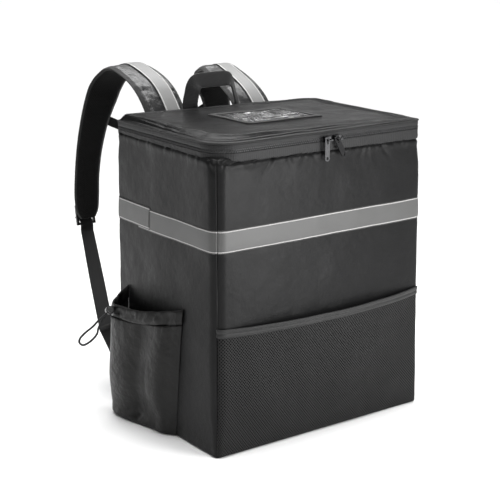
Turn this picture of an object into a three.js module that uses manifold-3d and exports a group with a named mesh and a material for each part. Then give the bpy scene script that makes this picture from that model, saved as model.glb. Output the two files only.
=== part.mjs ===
// Insulated delivery backpack: a boxy padded bag with a zipped lid, a mesh pocket across the front,
// a gathered pocket with a drawcord on its left side, and two padded shoulder straps behind.
// Millimetres, +Z up. The origin is the centre of the base, the front faces -Y and the straps +Y.
import * as THREE from 'three'
import { mergeVertices } from 'three/addons/utils/BufferGeometryUtils.js'
import Module from 'manifold-3d'

const wasm = await Module()
wasm.setup()

// Body of the bag
const bodyWidth = 400
const bodyDepth = 280
const bodyHeight = 460
const baseFlare = 5
const wallThickness = 7
const floorThickness = 8
const bodyCorner = 8
const baseEdge = 3
const panelBow = 3
const gatherHeight = 12

// Zip round three sides, cloth hinge along the back
const tapeThickness = 1.5
const lowerTapeHeight = 11
const upperTapeHeight = 7
const chainHeight = 6
const chainThickness = 2.6
const tapeInset = 0.6
const zipCornerFront = 45
const zipCornerRight = 14
const zipCornerBack = 18

// Lid
const lidThickness = 8
const lidCrown = 2
const lidRim = 6.5
const lidRoll = 7
const pipingRadius = 1.5
const windowWidth = 150
const windowDepth = 110
const windowBorder = 10
const windowCorner = 6
const windowBack = 10
const borderThickness = 1.2
const filmThickness = 1

// Reflective band
const bandHeight = 36
const bandLow = bodyHeight * 0.7
const bandThickness = 1
const bandStep = 3

// Mesh pocket on the front
const meshTop = 206
const meshFoot = 4
const meshThickness = 1.2
const meshHem = 20
const meshHemThickness = 2.4
const meshGape = 16
const meshSag = 3

// Gathered pocket on the left side
const pocketHeight = 219
const pocketDepth = 44
const pocketFrontTop = -58
const pocketFrontFoot = -32
const pocketRearTop = 108
const pocketRearFoot = 122
const pocketCloth = 1.5
const pocketHem = 25
const pocketHemThickness = 3
const pocketFloor = 0.6

// Cord lock and drawcord
const cordRadius = 1.75
const lockRadius = 6.5
const lockBelow = 8
const lockAbove = 14
const plungerRadius = 4.8
const plungerReach = 6
const plungerTravel = 4
const lockProud = 10
const lockInset = 21
const lockDrop = 30

// Shoulder straps
const strapSpacing = bodyWidth * 0.22
const strapSplay = 60
const strapReach = 198
const strapRoot = bodyHeight - 45
const strapTop = bodyHeight + 87
const strapTip = bodyHeight * 0.6
const strapWidth = 78
const strapThickness = 11
const stripeWidth = 29
const stripeShift = 11.5
const stripeThickness = 1

// Webbing, ladder locks and the wings that anchor the webbing
const webWidth = 25
const webThickness = 1.6
const webSag = 6
const ladderWidth = 37
const ladderHeight = 36
const ladderThickness = 4
const ladderBar = 4.5
const ladderTab = 13
const ladderRise = 5
const loopReach = 16
const wingLow = 35
const wingHigh = 105
const wingThickness = 3
const wingReach = 58
const wingRise = 124
const chestHeight = bodyHeight - 10
const chestWidth = 16
const chestSag = 26
const chestBuckleWidth = 34
const chestBuckleHeight = 26
const chestBuckleThickness = 9

// Haul handle
const handleSpan = bodyWidth * 0.19
const handleWidth = 26
const handleThickness = 3
const handleRoot = bodyHeight - 35
const handleTop = bodyHeight + 72
const handleLean = 16

// Zip sliders and pulls
const sliderLength = 12
const sliderHeight = 9
const sliderDepth = 5
const bridgeRadius = 4
const bridgeWire = 1
const bridgeLeg = 6.5
const pullLength = 37
const pullWidth = 9
const pullThickness = 1.6
const pullPlay = 0.9
const pullRim = 2.2
const slotLength = 8
const slotWidth = 3.4
const sliderPlaces = [{ name: 'left', x: 5, tilt: 0 }, { name: 'right', x: 24, tilt: 29 }]

// Clearance between touching pieces
const gap = 0.3

const lidBase = bodyHeight + lowerTapeHeight + chainHeight + upperTapeHeight
const frontSteps = 10
const sideSteps = 8
const cornerSteps = 5
const radians = THREE.MathUtils.degToRad
const mix = THREE.MathUtils.lerp
const vec = (x, y, z) => new THREE.Vector3(x, y, z)

// A closed body from rows of points that each close on themselves. Its ends are fans, strips that
// join the two halves of a row, or nothing where the last row meets the first.
function solid(rows, ends = 'fan') {
  const count = rows[0].length
  const positions = rows.flat().flatMap((point) => [point.x, point.y, point.z])
  const index = []
  const quad = (a, b, c, d) => index.push(a, b, c, a, c, d)
  const bands = ends === 'loop' ? rows.length : rows.length - 1
  for (let row = 0; row < bands; row++) {
    const next = (row + 1) % rows.length
    for (let i = 0; i < count; i++) {
      const j = (i + 1) % count
      quad(row * count + i, row * count + j, next * count + j, next * count + i)
    }
  }
  if (ends === 'fan') {
    for (const [row, turn] of [[0, 1], [rows.length - 1, -1]]) {
      const middle = rows[row].reduce((sum, point) => sum.add(point), vec(0, 0, 0)).divideScalar(count)
      const hub = positions.length / 3
      positions.push(middle.x, middle.y, middle.z)
      for (let i = 0; i < count; i++) {
        const rim = [row * count + ((i + 1) % count), row * count + i]
        if (turn < 0) rim.reverse()
        index.push(hub, ...rim)
      }
    }
  }
  if (ends === 'strip') {
    const last = (rows.length - 1) * count
    for (let i = 0; i < count / 2 - 1; i++) {
      const far = count - 1 - i
      quad(i + 1, i, far, far - 1)
      quad(last + i, last + i + 1, last + far - 1, last + far)
    }
  }
  return outward(positions, index)
}

// Turns the faces outward when the body came out inside out
function outward(positions, index) {
  let volume = 0
  const at = (i) => vec(positions[3 * i], positions[3 * i + 1], positions[3 * i + 2])
  for (let i = 0; i < index.length; i += 3) {
    volume += at(index[i]).dot(at(index[i + 1]).cross(at(index[i + 2])))
  }
  if (volume < 0) index.reverse()
  const geometry = new THREE.BufferGeometry()
  geometry.setAttribute('position', new THREE.Float32BufferAttribute(positions, 3))
  geometry.setIndex(index)
  geometry.computeVertexNormals()
  return geometry
}

// Booleans on closed geometries
function toManifold(source) {
  const bare = source.clone()
  bare.deleteAttribute('normal')
  bare.deleteAttribute('uv')
  const merged = mergeVertices(bare, 1e-4)
  return new wasm.Manifold(new wasm.Mesh({
    numProp: 3,
    vertProperties: new Float32Array(merged.attributes.position.array),
    triVerts: new Uint32Array(merged.index.array),
  }))
}

function fromManifold(result) {
  const mesh = result.getMesh()
  const geometry = new THREE.BufferGeometry()
  geometry.setAttribute('position', new THREE.BufferAttribute(new Float32Array(mesh.vertProperties), 3))
  geometry.setIndex([...mesh.triVerts])
  geometry.computeVertexNormals()
  return geometry
}

const cut = (base, ...tools) =>
  fromManifold(tools.reduce((left, tool) => left.subtract(toManifold(tool)), toManifold(base)))
const join = (base, ...others) =>
  fromManifold(others.reduce((left, other) => left.add(toManifold(other)), toManifold(base)))

// Plan of the bag at one height, anticlockwise from the left end of the front: straight sides that
// bow outward, and round corners. The front's right corner can have a radius of its own.
function planRing(z, halfX, halfY, frontRadius, backRadius, bow, rightRadius = frontRadius) {
  const points = []
  const corner = (x, y, radius, from) => {
    for (let i = 1; i < cornerSteps; i++) {
      const angle = from + (i / cornerSteps) * Math.PI / 2
      points.push(vec(x + radius * Math.cos(angle), y + radius * Math.sin(angle), z))
    }
  }
  const side = (steps, place) => {
    for (let i = 0; i <= steps; i++) {
      const share = -1 + (2 * i) / steps
      points.push(place(share, bow * (1 - share * share)))
    }
  }
  const frontX = halfX - frontRadius
  const rightX = halfX - rightRadius
  const backX = halfX - backRadius
  const frontY = -halfY + frontRadius
  const rightY = -halfY + rightRadius
  const backY = halfY - backRadius
  const between = (from, to, share) => mix(from, to, (share + 1) / 2)
  side(frontSteps, (share, out) => vec(between(-frontX, rightX, share), -halfY - out, z))
  corner(rightX, rightY, rightRadius, -Math.PI / 2)
  side(sideSteps, (share, out) => vec(halfX + out, between(rightY, backY, share), z))
  corner(backX, backY, backRadius, 0)
  side(frontSteps, (share, out) => vec(-share * backX, halfY + out, z))
  corner(-backX, backY, backRadius, Math.PI / 2)
  side(sideSteps, (share, out) => vec(-halfX - out, between(backY, frontY, share), z))
  corner(-frontX, frontY, frontRadius, Math.PI)
  return points
}

// Where each stretch of that plan starts
const rightStart = frontSteps + cornerSteps
const backStart = rightStart + sideSteps + cornerSteps
const leftStart = backStart + frontSteps + cornerSteps
const planCount = leftStart + sideSteps + cornerSteps
const stretch = (ring, from, to) => {
  const points = []
  for (let i = from; i <= to; i++) points.push(ring[(i + planCount) % planCount])
  return points
}

const flareAt = (z) => baseFlare * (1 - z / lidBase)
const bowAt = (z) => panelBow * Math.sin(Math.PI * Math.min(z / bodyHeight, 1))
const smooth = (share) => share * share * (3 - 2 * share)
const gatherAt = (z) => smooth(THREE.MathUtils.clamp((z - bodyHeight + gatherHeight) / gatherHeight, 0, 1))

// The body's wall at a height, moved outward by an offset
function wallRing(z, offset) {
  const gathered = gatherAt(z)
  const front = mix(bodyCorner, zipCornerFront, gathered) + offset
  const right = mix(bodyCorner, zipCornerRight, gathered) + offset
  const back = mix(bodyCorner, zipCornerBack, gathered) + offset
  const halfX = bodyWidth / 2 + flareAt(z) + offset
  const halfY = bodyDepth / 2 + flareAt(z) + offset
  return planRing(z, halfX, halfY, front, back, bowAt(z), right)
}

// The plan of the zip and the lid, moved outward by an offset
const zipRing = (z, offset) => planRing(z, bodyWidth / 2 + offset, bodyDepth / 2 + offset,
  zipCornerFront + offset, zipCornerBack + offset, 0, zipCornerRight + offset)

// Distance of the left and back walls from the middle of the bag
function leftWallAt(y, z) {
  const reach = bodyDepth / 2 + flareAt(z) - bodyCorner
  const share = Math.min(Math.abs(y) / reach, 1)
  return bodyWidth / 2 + flareAt(z) + bowAt(z) * (1 - share * share)
}
function backWallAt(x, z) {
  const reach = bodyWidth / 2 + flareAt(z) - bodyCorner
  const share = Math.min(Math.abs(x) / reach, 1)
  return bodyDepth / 2 + flareAt(z) + bowAt(z) * (1 - share * share)
}

// A strip of cloth round a stretch of the walls, between two heights
function wallStrip(ringAt, from, to, low, high, inner, thickness) {
  const rowAt = (z) => {
    const outside = stretch(ringAt(z, inner + thickness), from, to)
    const inside = stretch(ringAt(z, inner), from, to)
    return [...outside, ...inside.reverse()]
  }
  return solid([rowAt(low), rowAt(high)], 'strip')
}

// Body: a deep box of padded walls, open at the top, whose corners gather in to the round zip
const bodyLevels = [0.25, 0.5, 0.75, 1]
const gatherLevels = [0.35, 0.7, 1]
function bodyShell() {
  const gatherStart = bodyHeight - gatherHeight
  const levels = bodyLevels.map((share) => mix(baseEdge, gatherStart, share))
  const gathers = gatherLevels.map((share) => mix(gatherStart, bodyHeight, share))
  const upper = [...levels, ...gathers]
  const foot = wallRing(0, -baseEdge)
  const innerLevels = upper.map((z) => Math.max(z, floorThickness)).reverse()
  return solid([
    foot,
    wallRing(baseEdge, 0),
    ...upper.map((z) => wallRing(z, 0)),
    ...innerLevels.map((z) => wallRing(z, -wallThickness)),
    wallRing(floorThickness, -wallThickness),
  ])
}

// Lid: a padded panel with a soft crown. Its rim steps in below to take the piping.
const crownAt = (x, y) => {
  const alongX = 1 - (x / (bodyWidth / 2)) ** 2
  const alongY = 1 - (y / (bodyDepth / 2)) ** 2
  return lidCrown * Math.max(alongX, 0) * Math.max(alongY, 0)
}
const lidTopAt = (x, y) => lidBase + lidRim + crownAt(x, y)
const lidFace = [0.96, 0.85, 0.6, 0.3]
function lidPanel() {
  const pipingSeat = -pipingRadius - gap
  const seatTop = lidBase + 2 * (pipingRadius + gap)
  const faceRing = (share, drop) => zipRing(0, -lidRoll).map((point) => {
    const x = point.x * share
    const y = point.y * share
    return vec(x, y, lidTopAt(x, y) - drop)
  })
  const underside = [...lidFace].reverse().map((share) => faceRing(share, lidThickness))
  return solid([
    ...underside,
    zipRing(lidBase, pipingSeat),
    zipRing(seatTop, pipingSeat),
    zipRing(seatTop + pipingRadius / 2, 0),
    zipRing(lidBase + lidRim - pipingRadius, 0),
    zipRing(lidBase + lidRim, -lidRoll / 3),
    ...lidFace.map((share) => faceRing(share, 0)),
  ])
}

function lidPiping() {
  const sides = 6
  const rows = []
  for (let i = 0; i < sides; i++) {
    const angle = (i / sides) * Math.PI * 2
    const z = lidBase + gap + pipingRadius * (1 + Math.sin(angle))
    rows.push(zipRing(z, pipingRadius * Math.cos(angle)))
  }
  return solid(rows, 'loop')
}

// Clear pocket on the lid: a sheet that follows the crown under a frame of cloth
function windowFrame() {
  const ringAt = (inset, lift) => {
    const halfX = windowWidth / 2 - inset
    const halfY = windowDepth / 2 - inset
    const radius = Math.max(windowCorner - inset / 2, 1)
    return planRing(0, halfX, halfY, radius, radius, 0).map((point) => {
      const y = point.y + windowBack
      return vec(point.x, y, lidTopAt(point.x, y) + lift)
    })
  }
  const low = filmThickness + 2 * gap
  const high = low + borderThickness
  return solid([ringAt(0, low), ringAt(0, high), ringAt(windowBorder, high), ringAt(windowBorder, low)], 'loop')
}

const filmSteps = 6
function windowFilm() {
  const halfX = windowWidth / 2 - windowBorder / 3
  const halfY = windowDepth / 2 - windowBorder / 3
  const rowAt = (share) => {
    const y = windowBack + share * halfY
    const line = (lift) => {
      const points = []
      for (let i = 0; i <= filmSteps; i++) {
        const x = mix(-halfX, halfX, i / filmSteps)
        points.push(vec(x, y, lidTopAt(x, y) + lift))
      }
      return points
    }
    return [...line(gap + filmThickness), ...line(gap).reverse()]
  }
  const rows = []
  for (let i = 0; i <= filmSteps; i++) rows.push(rowAt(-1 + (2 * i) / filmSteps))
  return solid(rows, 'strip')
}

// Zip: a tape below and above the chain round three sides, and a cloth hinge along the back
const chainLow = bodyHeight + lowerTapeHeight
const zipStrip = (low, high, inner, thickness) =>
  wallStrip(zipRing, leftStart - cornerSteps, planCount + backStart, low + gap, high, inner, thickness)
const zipTapeLower = () => zipStrip(bodyHeight, chainLow, -tapeInset - tapeThickness, tapeThickness)
const zipTapeUpper = () =>
  zipStrip(chainLow + chainHeight, lidBase - gap, -tapeInset - tapeThickness, tapeThickness)
const zipChain = () => zipStrip(chainLow, chainLow + chainHeight, -tapeInset - chainThickness + gap, chainThickness)
function lidHinge() {
  const shorten = 0.985
  const ringAt = (z, offset) => zipRing(z, offset).map((point) => vec(point.x * shorten, point.y, z))
  const inner = -tapeInset - tapeThickness
  return wallStrip(ringAt, backStart, backStart + frontSteps, bodyHeight + gap, lidBase - gap, inner, tapeThickness)
}

// Reflective band: the long strip runs under the end of the short one on the left wall
const bandLap = 3
function bandFront() {
  const from = leftStart + bandLap - 1
  const to = planCount + rightStart + sideSteps
  return wallStrip(wallRing, from, to, bandLow, bandLow + bandHeight, gap, bandThickness)
}
function bandRear() {
  const low = bandLow + bandStep
  const inner = 2 * gap + bandThickness
  return wallStrip(wallRing, leftStart, leftStart + bandLap, low, low + bandHeight, inner, bandThickness)
}

// Mesh pocket: flat at its foot and its sides, standing away from the front along its top
const meshShape = [
  { height: 0, gape: 0 },
  { height: 0.3, gape: 0.1 },
  { height: 0.55, gape: 0.28 },
  { height: 0.75, gape: 0.52 },
  { height: 0.9, gape: 0.82 },
  { height: 1, gape: 1 },
]
const gapeAt = (height) => {
  const above = Math.max(meshShape.findIndex((row) => row.height >= height), 1)
  const low = meshShape[above - 1]
  const high = meshShape[above]
  return meshGape * mix(low.gape, high.gape, (height - low.height) / (high.height - low.height))
}
const meshTurn = 2
function meshRow(height, inner, thickness) {
  const line = (offset) => {
    const nominal = mix(meshFoot, meshTop, height)
    return stretch(wallRing(nominal, offset), -meshTurn, frontSteps + meshTurn).map((point, i) => {
      const across = -1 + (2 * (i - meshTurn)) / frontSteps
      const share = Math.max(1 - across * across, 0)
      return vec(point.x, point.y - gapeAt(height) * share, nominal - meshSag * share * height)
    })
  }
  return [...line(inner + thickness), ...line(inner).reverse()]
}
const hemShare = 1 - meshHem / (meshTop - meshFoot)
function meshPanel() {
  const heights = [...meshShape.map((row) => row.height).filter((height) => height < hemShare), hemShare]
  return solid(heights.map((height) => meshRow(height, gap, meshThickness)), 'strip')
}
function meshHemStrip() {
  const start = hemShare + gap / (meshTop - meshFoot)
  return solid([start, 1].map((height) => meshRow(height, gap, meshHemThickness)), 'strip')
}

// Side pocket. Along runs from its front seam to its rear seam, and the depths at the foot, the
// belly and the rim are shares of the pocket's depth. Top is a share of its height.
const pocketPlan = [
  { along: 0, foot: 0, belly: 0, rim: 0, top: 1 },
  { along: 0.07, foot: 0.18, belly: 0.28, rim: 0.17, top: 0.985 },
  { along: 0.18, foot: 0.36, belly: 0.58, rim: 0.34, top: 0.965 },
  { along: 0.32, foot: 0.46, belly: 0.78, rim: 0.5, top: 0.945 },
  { along: 0.46, foot: 0.5, belly: 0.8, rim: 0.63, top: 0.925 },
  { along: 0.6, foot: 0.52, belly: 0.94, rim: 0.74, top: 0.915 },
  { along: 0.74, foot: 0.5, belly: 1, rim: 0.8, top: 0.908 },
  { along: 0.87, foot: 0.46, belly: 0.98, rim: 0.82, top: 0.9 },
  { along: 0.96, foot: 0.4, belly: 0.88, rim: 0.77, top: 0.89 },
  { along: 1.01, foot: 0.24, belly: 0.56, rim: 0.46, top: 0.93 },
  { along: 1, foot: 0, belly: 0, rim: 0, top: 1 },
]
const bellyHeight = 0.42
const pocketSeat = pocketCloth + 2 * gap
const pocketTuck = [
  { height: 0, lift: 0.8, depth: 0.02 },
  { height: 0, lift: 0, depth: 0.55 },
  { height: 0.012, lift: 0, depth: 0.92 },
  { height: 0.05, lift: 0, depth: 1 },
]
const pocketLevels = [0.16, 0.3, 0.44, 0.58, 0.72]
function pocketPoint(row, height, depthShare, lift) {
  const front = mix(pocketFrontFoot, pocketFrontTop, height)
  const rear = mix(pocketRearFoot, pocketRearTop, height)
  const y = mix(front, rear, row.along)
  const z = pocketFloor + lift + height * row.top * (pocketHeight - pocketFloor)
  const belly = height < bellyHeight
    ? mix(row.foot, row.belly, smooth(height / bellyHeight))
    : mix(row.belly, row.rim, smooth((height - bellyHeight) / (1 - bellyHeight)))
  return vec(-leftWallAt(y, z) - pocketSeat - pocketDepth * belly * depthShare, y, z)
}
// Cloth of a given thickness behind rows of outer points, thickened square to the surface
function clothFrom(rows, thickness) {
  const at = (i, j) => rows[THREE.MathUtils.clamp(i, 0, rows.length - 1)][
    THREE.MathUtils.clamp(j, 0, rows[0].length - 1)]
  return solid(rows.map((row, i) => {
    const inner = row.map((point, j) => {
      const up = at(i + 1, j).clone().sub(at(i - 1, j))
      const along = at(i, j + 1).clone().sub(at(i, j - 1))
      return point.clone().addScaledVector(up.cross(along).normalize(), -thickness)
    })
    return [...row, ...inner.reverse()]
  }), 'strip')
}
const pocketHemStart = 1 - pocketHem / pocketHeight
function sidePocketBag() {
  const tucks = pocketTuck.map((tuck) =>
    pocketPlan.map((row) => pocketPoint(row, tuck.height, tuck.depth, tuck.lift)))
  const levels = [...pocketLevels, pocketHemStart].map((height) =>
    pocketPlan.map((row) => pocketPoint(row, height, 1, 0)))
  return clothFrom([...tucks, ...levels], pocketCloth)
}
function sidePocketHem() {
  const start = pocketHemStart + gap / pocketHeight
  const seam = pocketHemThickness - pocketCloth
  const heights = [start, (start + 1) / 2, 1]
  return clothFrom(heights.map((height) => pocketPlan.map((row) => {
    const point = pocketPoint(row, height, 1, 0)
    return vec(point.x - seam, point.y, point.z)
  })), pocketHemThickness)
}

// Cord lock, standing on the hem near its rear corner. Its axis points at whoever opens the pocket.
const lockPlace = vec(-bodyWidth / 2 - pocketDepth - lockProud, pocketRearTop - lockInset, pocketHeight - lockDrop)
const lockAxis = vec(-0.35, -0.865, 0.357).normalize()
const lockThrough = vec(-0.784, 0.063, -0.617)
lockThrough.addScaledVector(lockAxis, -lockThrough.dot(lockAxis)).normalize()
const lockTurn = new THREE.Matrix4().makeBasis(
  lockThrough, lockAxis.clone().cross(lockThrough), lockAxis).setPosition(lockPlace)
const strandShift = cordRadius + 0.45
const strandStart = 9.4
const rod = (radius, from, to, sides) =>
  new THREE.CylinderGeometry(radius, radius, to - from, sides).rotateX(Math.PI / 2).translate(0, 0, (from + to) / 2)
function lockBarrel() {
  const halfHole = strandShift + cordRadius + gap
  const boreFloor = halfHole + 1.2
  const hole = new THREE.BoxGeometry(4 * lockRadius, 2 * (cordRadius + gap), 2 * halfHole)
  return cut(rod(lockRadius, -lockBelow, lockAbove, 20), hole, rod(plungerRadius + gap, boreFloor, 2 * lockAbove, 16))
    .applyMatrix4(lockTurn)
}
function lockPlunger() {
  const foot = strandShift + cordRadius + 2 * gap + 1.2 + plungerTravel
  const top = lockAbove + plungerReach
  const edge = plungerRadius / 5
  return new THREE.LatheGeometry([
    new THREE.Vector2(0, foot),
    new THREE.Vector2(plungerRadius, foot),
    new THREE.Vector2(plungerRadius, top - edge),
    new THREE.Vector2(plungerRadius - edge, top),
    new THREE.Vector2(0, top),
  ], 16).rotateX(Math.PI / 2).applyMatrix4(lockTurn)
}

// Drawcord: out of the hem, through the lock, round the loose loop, and back beside itself.
// The loop's points are x, y and z from the middle of the lock.
const strandOut = lockAxis.clone().multiplyScalar(strandShift)
const cordLoop = [
  [-17, 5, -15], [-26, 9, -25], [-37, 15, -35], [-45, 18, -44], [-47, 17, -50],
  [-43, 13, -54], [-36, 9, -51], [-27, 6, -44], [-21, 4, -36], [-18, 5, -28],
]
const throughLock = (distance, turn) =>
  lockPlace.clone().addScaledVector(lockThrough, distance).addScaledVector(strandOut, turn)
const cordRoute = [
  throughLock(-strandStart, 1), throughLock(0, 1), throughLock(8, 1),
  ...cordLoop.map((point) => vec(...point).add(lockPlace)),
  throughLock(8, -1), throughLock(0, -1), throughLock(-strandStart, -1),
]
function drawcord() {
  const section = new THREE.Shape()
  const sides = 8
  for (let i = 0; i < sides; i++) {
    const angle = (i / sides) * Math.PI * 2
    const place = [cordRadius * Math.cos(angle), cordRadius * Math.sin(angle)]
    if (i === 0) section.moveTo(...place)
    else section.lineTo(...place)
  }
  section.closePath()
  return new THREE.ExtrudeGeometry(section, { steps: 34, extrudePath: new THREE.CatmullRomCurve3(cordRoute) })
}

// A band along stations: each holds its middle, the direction of its width, its width and thickness.
// A padded band has rounded edges, a webbing has square ones.
const paddedSection = [[-1, -0.5], [-0.8, -1], [0.8, -1], [1, -0.5], [1, 0.5], [0.8, 1], [-0.8, 1], [-1, 0.5]]
const flatSection = [[-1, -1], [1, -1], [1, 1], [-1, 1]]
function band(stations, section) {
  return solid(stations.map((station, i) => {
    const before = stations[Math.max(i - 1, 0)].place
    const after = stations[Math.min(i + 1, stations.length - 1)].place
    const tangent = station.tangent ?? after.clone().sub(before).normalize()
    const across = station.across.clone().addScaledVector(tangent, -station.across.dot(tangent)).normalize()
    const face = tangent.clone().cross(across)
    return section.map(([x, y]) => {
      const edge = Math.abs(x) < 1 ? station.width / 2 - station.thickness * 0.4 : station.width / 2
      return station.place.clone()
        .addScaledVector(across, Math.sign(x) * edge)
        .addScaledVector(face, y * station.thickness / 2)
        .addScaledVector(face, station.lift ?? 0)
        .addScaledVector(across, station.shift ?? 0)
    })
  }))
}

// Shoulder strap. Out is a share of the splay, back of the reach behind the root, up of the height
// between tip and top, and width of the strap's width.
const strapShape = [
  { out: 0, back: 0, up: 0.513, width: 1 },
  { out: 0, back: 0.012, up: 0.6, width: 1 },
  { out: 0, back: 0.045, up: 0.69, width: 1 },
  { out: 0, back: 0.123, up: 0.768, width: 1 },
  { out: 0, back: 0.194, up: 0.83, width: 1 },
  { out: 0, back: 0.285, up: 0.889, width: 1 },
  { out: 0.017, back: 0.416, up: 0.945, width: 0.99 },
  { out: 0.05, back: 0.575, up: 0.985, width: 0.98 },
  { out: 0.09, back: 0.68, up: 1, width: 0.96 },
  { out: 0.15, back: 0.78, up: 0.98, width: 0.93 },
  { out: 0.27, back: 0.865, up: 0.925, width: 0.88 },
  { out: 0.4, back: 0.912, up: 0.86, width: 0.85 },
  { out: 0.56, back: 0.935, up: 0.765, width: 0.81 },
  { out: 0.73, back: 0.96, up: 0.631, width: 0.73 },
  { out: 0.87, back: 0.985, up: 0.458, width: 0.67 },
  { out: 0.95, back: 1, up: 0.28, width: 0.64 },
  { out: 0.99, back: 0.995, up: 0.14, width: 0.64 },
  { out: 1, back: 0.988, up: 0.05, width: 0.57 },
  { out: 1, back: 0.983, up: 0, width: 0.38 },
]
const strapRootY = backWallAt(strapSpacing / 2, strapRoot) + gap + strapThickness / 2
const strapLevel = (up) => up <= strapShape[0].up
  ? mix(strapTip, strapRoot, up / strapShape[0].up)
  : mix(strapRoot, strapTop, (up - strapShape[0].up) / (1 - strapShape[0].up))
const strapPoint = (row, side) => vec(
  side * (strapSpacing + strapSplay * row.out), strapRootY + strapReach * row.back, strapLevel(row.up))
const strapPath = (side) => new THREE.CatmullRomCurve3(strapShape.map((row) => strapPoint(row, side)))
const strapSteps = 36
function strapStations(side) {
  const path = strapPath(side)
  const widths = new THREE.CatmullRomCurve3(strapShape.map((row) => vec(row.width * strapWidth, 0, 0)))
  const stations = []
  for (let i = 0; i <= strapSteps; i++) {
    const share = i / strapSteps
    stations.push({ place: path.getPoint(share), tangent: path.getTangent(share), width: widths.getPoint(share).x,
      thickness: strapThickness, across: vec(1, 0, 0) })
  }
  return stations
}
// The middle of the hanging half of the strap on the right, at a height
function strapAt(height) {
  const path = strapPath(1)
  let low = 1
  let high = 0.5
  for (let i = 0; i < 30; i++) {
    const middle = (low + high) / 2
    if (path.getPoint(middle).z < height) low = middle
    else high = middle
  }
  return path.getPoint((low + high) / 2)
}
const facing = (section, side) => section.map(([x, y]) => [-side * x, y])
const strapPad = (side) => band(strapStations(side), facing(paddedSection, side))
const stripeFrom = 2
const stripeTo = 31
function strapStripe(side) {
  const stations = strapStations(side).slice(stripeFrom, stripeTo + 1)
  const lift = -(strapThickness + stripeThickness) / 2 - gap
  return band(stations.map((station) => ({ ...station, lift, shift: stripeShift * station.width / strapWidth,
    width: stripeWidth, thickness: stripeThickness })), facing(flatSection, side))
}

// Ladder lock on the back of the strap's tip: a frame with two slots and a thumb tab
const ladderLean = radians(9)
const ladderLevel = strapTip + ladderRise
const loopTop = ladderLevel + ladderHeight / 2 + loopReach
const strapBack = strapAt(loopTop).y + strapThickness / 2 + gap
const ladderPlace = (side) => vec(side * (strapSpacing + strapSplay),
  strapBack + webThickness + gap + ladderThickness / 2 - Math.sin(ladderLean) * (ladderHeight / 2 - ladderBar),
  ladderLevel)
function ladderLock(side) {
  const half = ladderWidth / 2
  const tall = ladderHeight / 2
  const frame = new THREE.Shape([[-half, -tall], [half, -tall], [half, tall], [-half, tall]]
    .map(([x, y]) => new THREE.Vector2(x, y)))
  const slotHigh = (ladderHeight - 3 * ladderBar) / 2
  for (const low of [-tall + ladderBar, ladderBar / 2]) {
    const edge = half - ladderBar
    frame.holes.push(new THREE.Path([[-edge, low], [-edge, low + slotHigh], [edge, low + slotHigh], [edge, low]]
      .map(([x, y]) => new THREE.Vector2(x, y))))
  }
  const plate = new THREE.ExtrudeGeometry(frame, { depth: ladderThickness, bevelEnabled: false })
    .translate(0, 0, -ladderThickness / 2)
  const tabHalf = half - ladderBar
  const profile = new THREE.Shape([
    [0, -ladderBar / 2], [ladderTab, -ladderBar * 1.4], [ladderTab, -ladderBar * 0.9], [0, ladderBar / 2]]
    .map(([x, y]) => new THREE.Vector2(x, y)))
  const tab = new THREE.ExtrudeGeometry(profile, { depth: 2 * tabHalf, bevelEnabled: false })
    .translate(0, 0, -tabHalf).rotateY(Math.PI / 2)
  const place = ladderPlace(side)
  return join(plate, tab).rotateX(Math.PI / 2 - ladderLean).translate(place.x, place.y, place.z)
}

// Short webbing that holds the ladder lock: down the strap's back, over its top bar
function ladderLoop(side) {
  const place = ladderPlace(side)
  const low = place.z + ladderHeight / 2 - ladderBar
  return band([loopTop, low].map((z) => ({ place: vec(place.x, strapBack + webThickness / 2, z),
    across: vec(1, 0, 0), width: webWidth, thickness: webThickness })), flatSection)
}

// Lower webbing from the ladder lock to the wing, turning to face outward on the way
const wingEnd = (side) => vec(side * (bodyWidth / 2 - gap * 4), bodyDepth / 2 + wingReach, wingRise)
const webTurned = (side) => vec(0.8, side * 0.5, -side * 0.3)
const webSteps = 8
function lowerWebbing(side) {
  const place = ladderPlace(side)
  const start = vec(place.x, place.y - Math.sin(ladderLean) * ladderHeight / 2,
    place.z - Math.cos(ladderLean) * ladderHeight / 2 - gap - webThickness * 1.6)
  const end = wingEnd(side)
  const stations = []
  for (let i = 0; i <= webSteps; i++) {
    const share = i / webSteps
    const bulge = webSag * 4 * share * (1 - share)
    const along = mix(0, 0.985, share)
    const middle = start.clone().lerp(end, along).add(vec(-side * bulge / 2, bulge, 0))
    stations.push({ place: middle, width: webWidth, thickness: webThickness,
      across: vec(1, 0, 0).lerp(webTurned(side), smooth(share)) })
  }
  return band(stations, flatSection)
}

// Wing: a doubled triangle of cloth from the rear corner seam out to the webbing
const wingSteps = 4
function wing(side) {
  const end = wingEnd(side)
  const across = webTurned(side).normalize()
  const outerLow = end.clone().addScaledVector(across, side * (webWidth / 2 + 1))
  const outerHigh = end.clone().addScaledVector(across, -side * (webWidth / 2 + 1))
  const seamX = bodyWidth / 2 - bodyCorner / 2
  const seam = (z) => vec(side * seamX, backWallAt(seamX, z) + gap, z)
  const rows = []
  for (let i = 0; i <= wingSteps; i++) {
    const share = i / wingSteps
    const low = seam(wingLow).lerp(outerLow, share)
    const high = seam(wingHigh).lerp(outerHigh, share)
    rows.push(side < 0 ? [low, low.clone().lerp(high, 0.5), high] : [high, high.clone().lerp(low, 0.5), low])
  }
  return clothFrom(rows, wingThickness)
}

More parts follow.
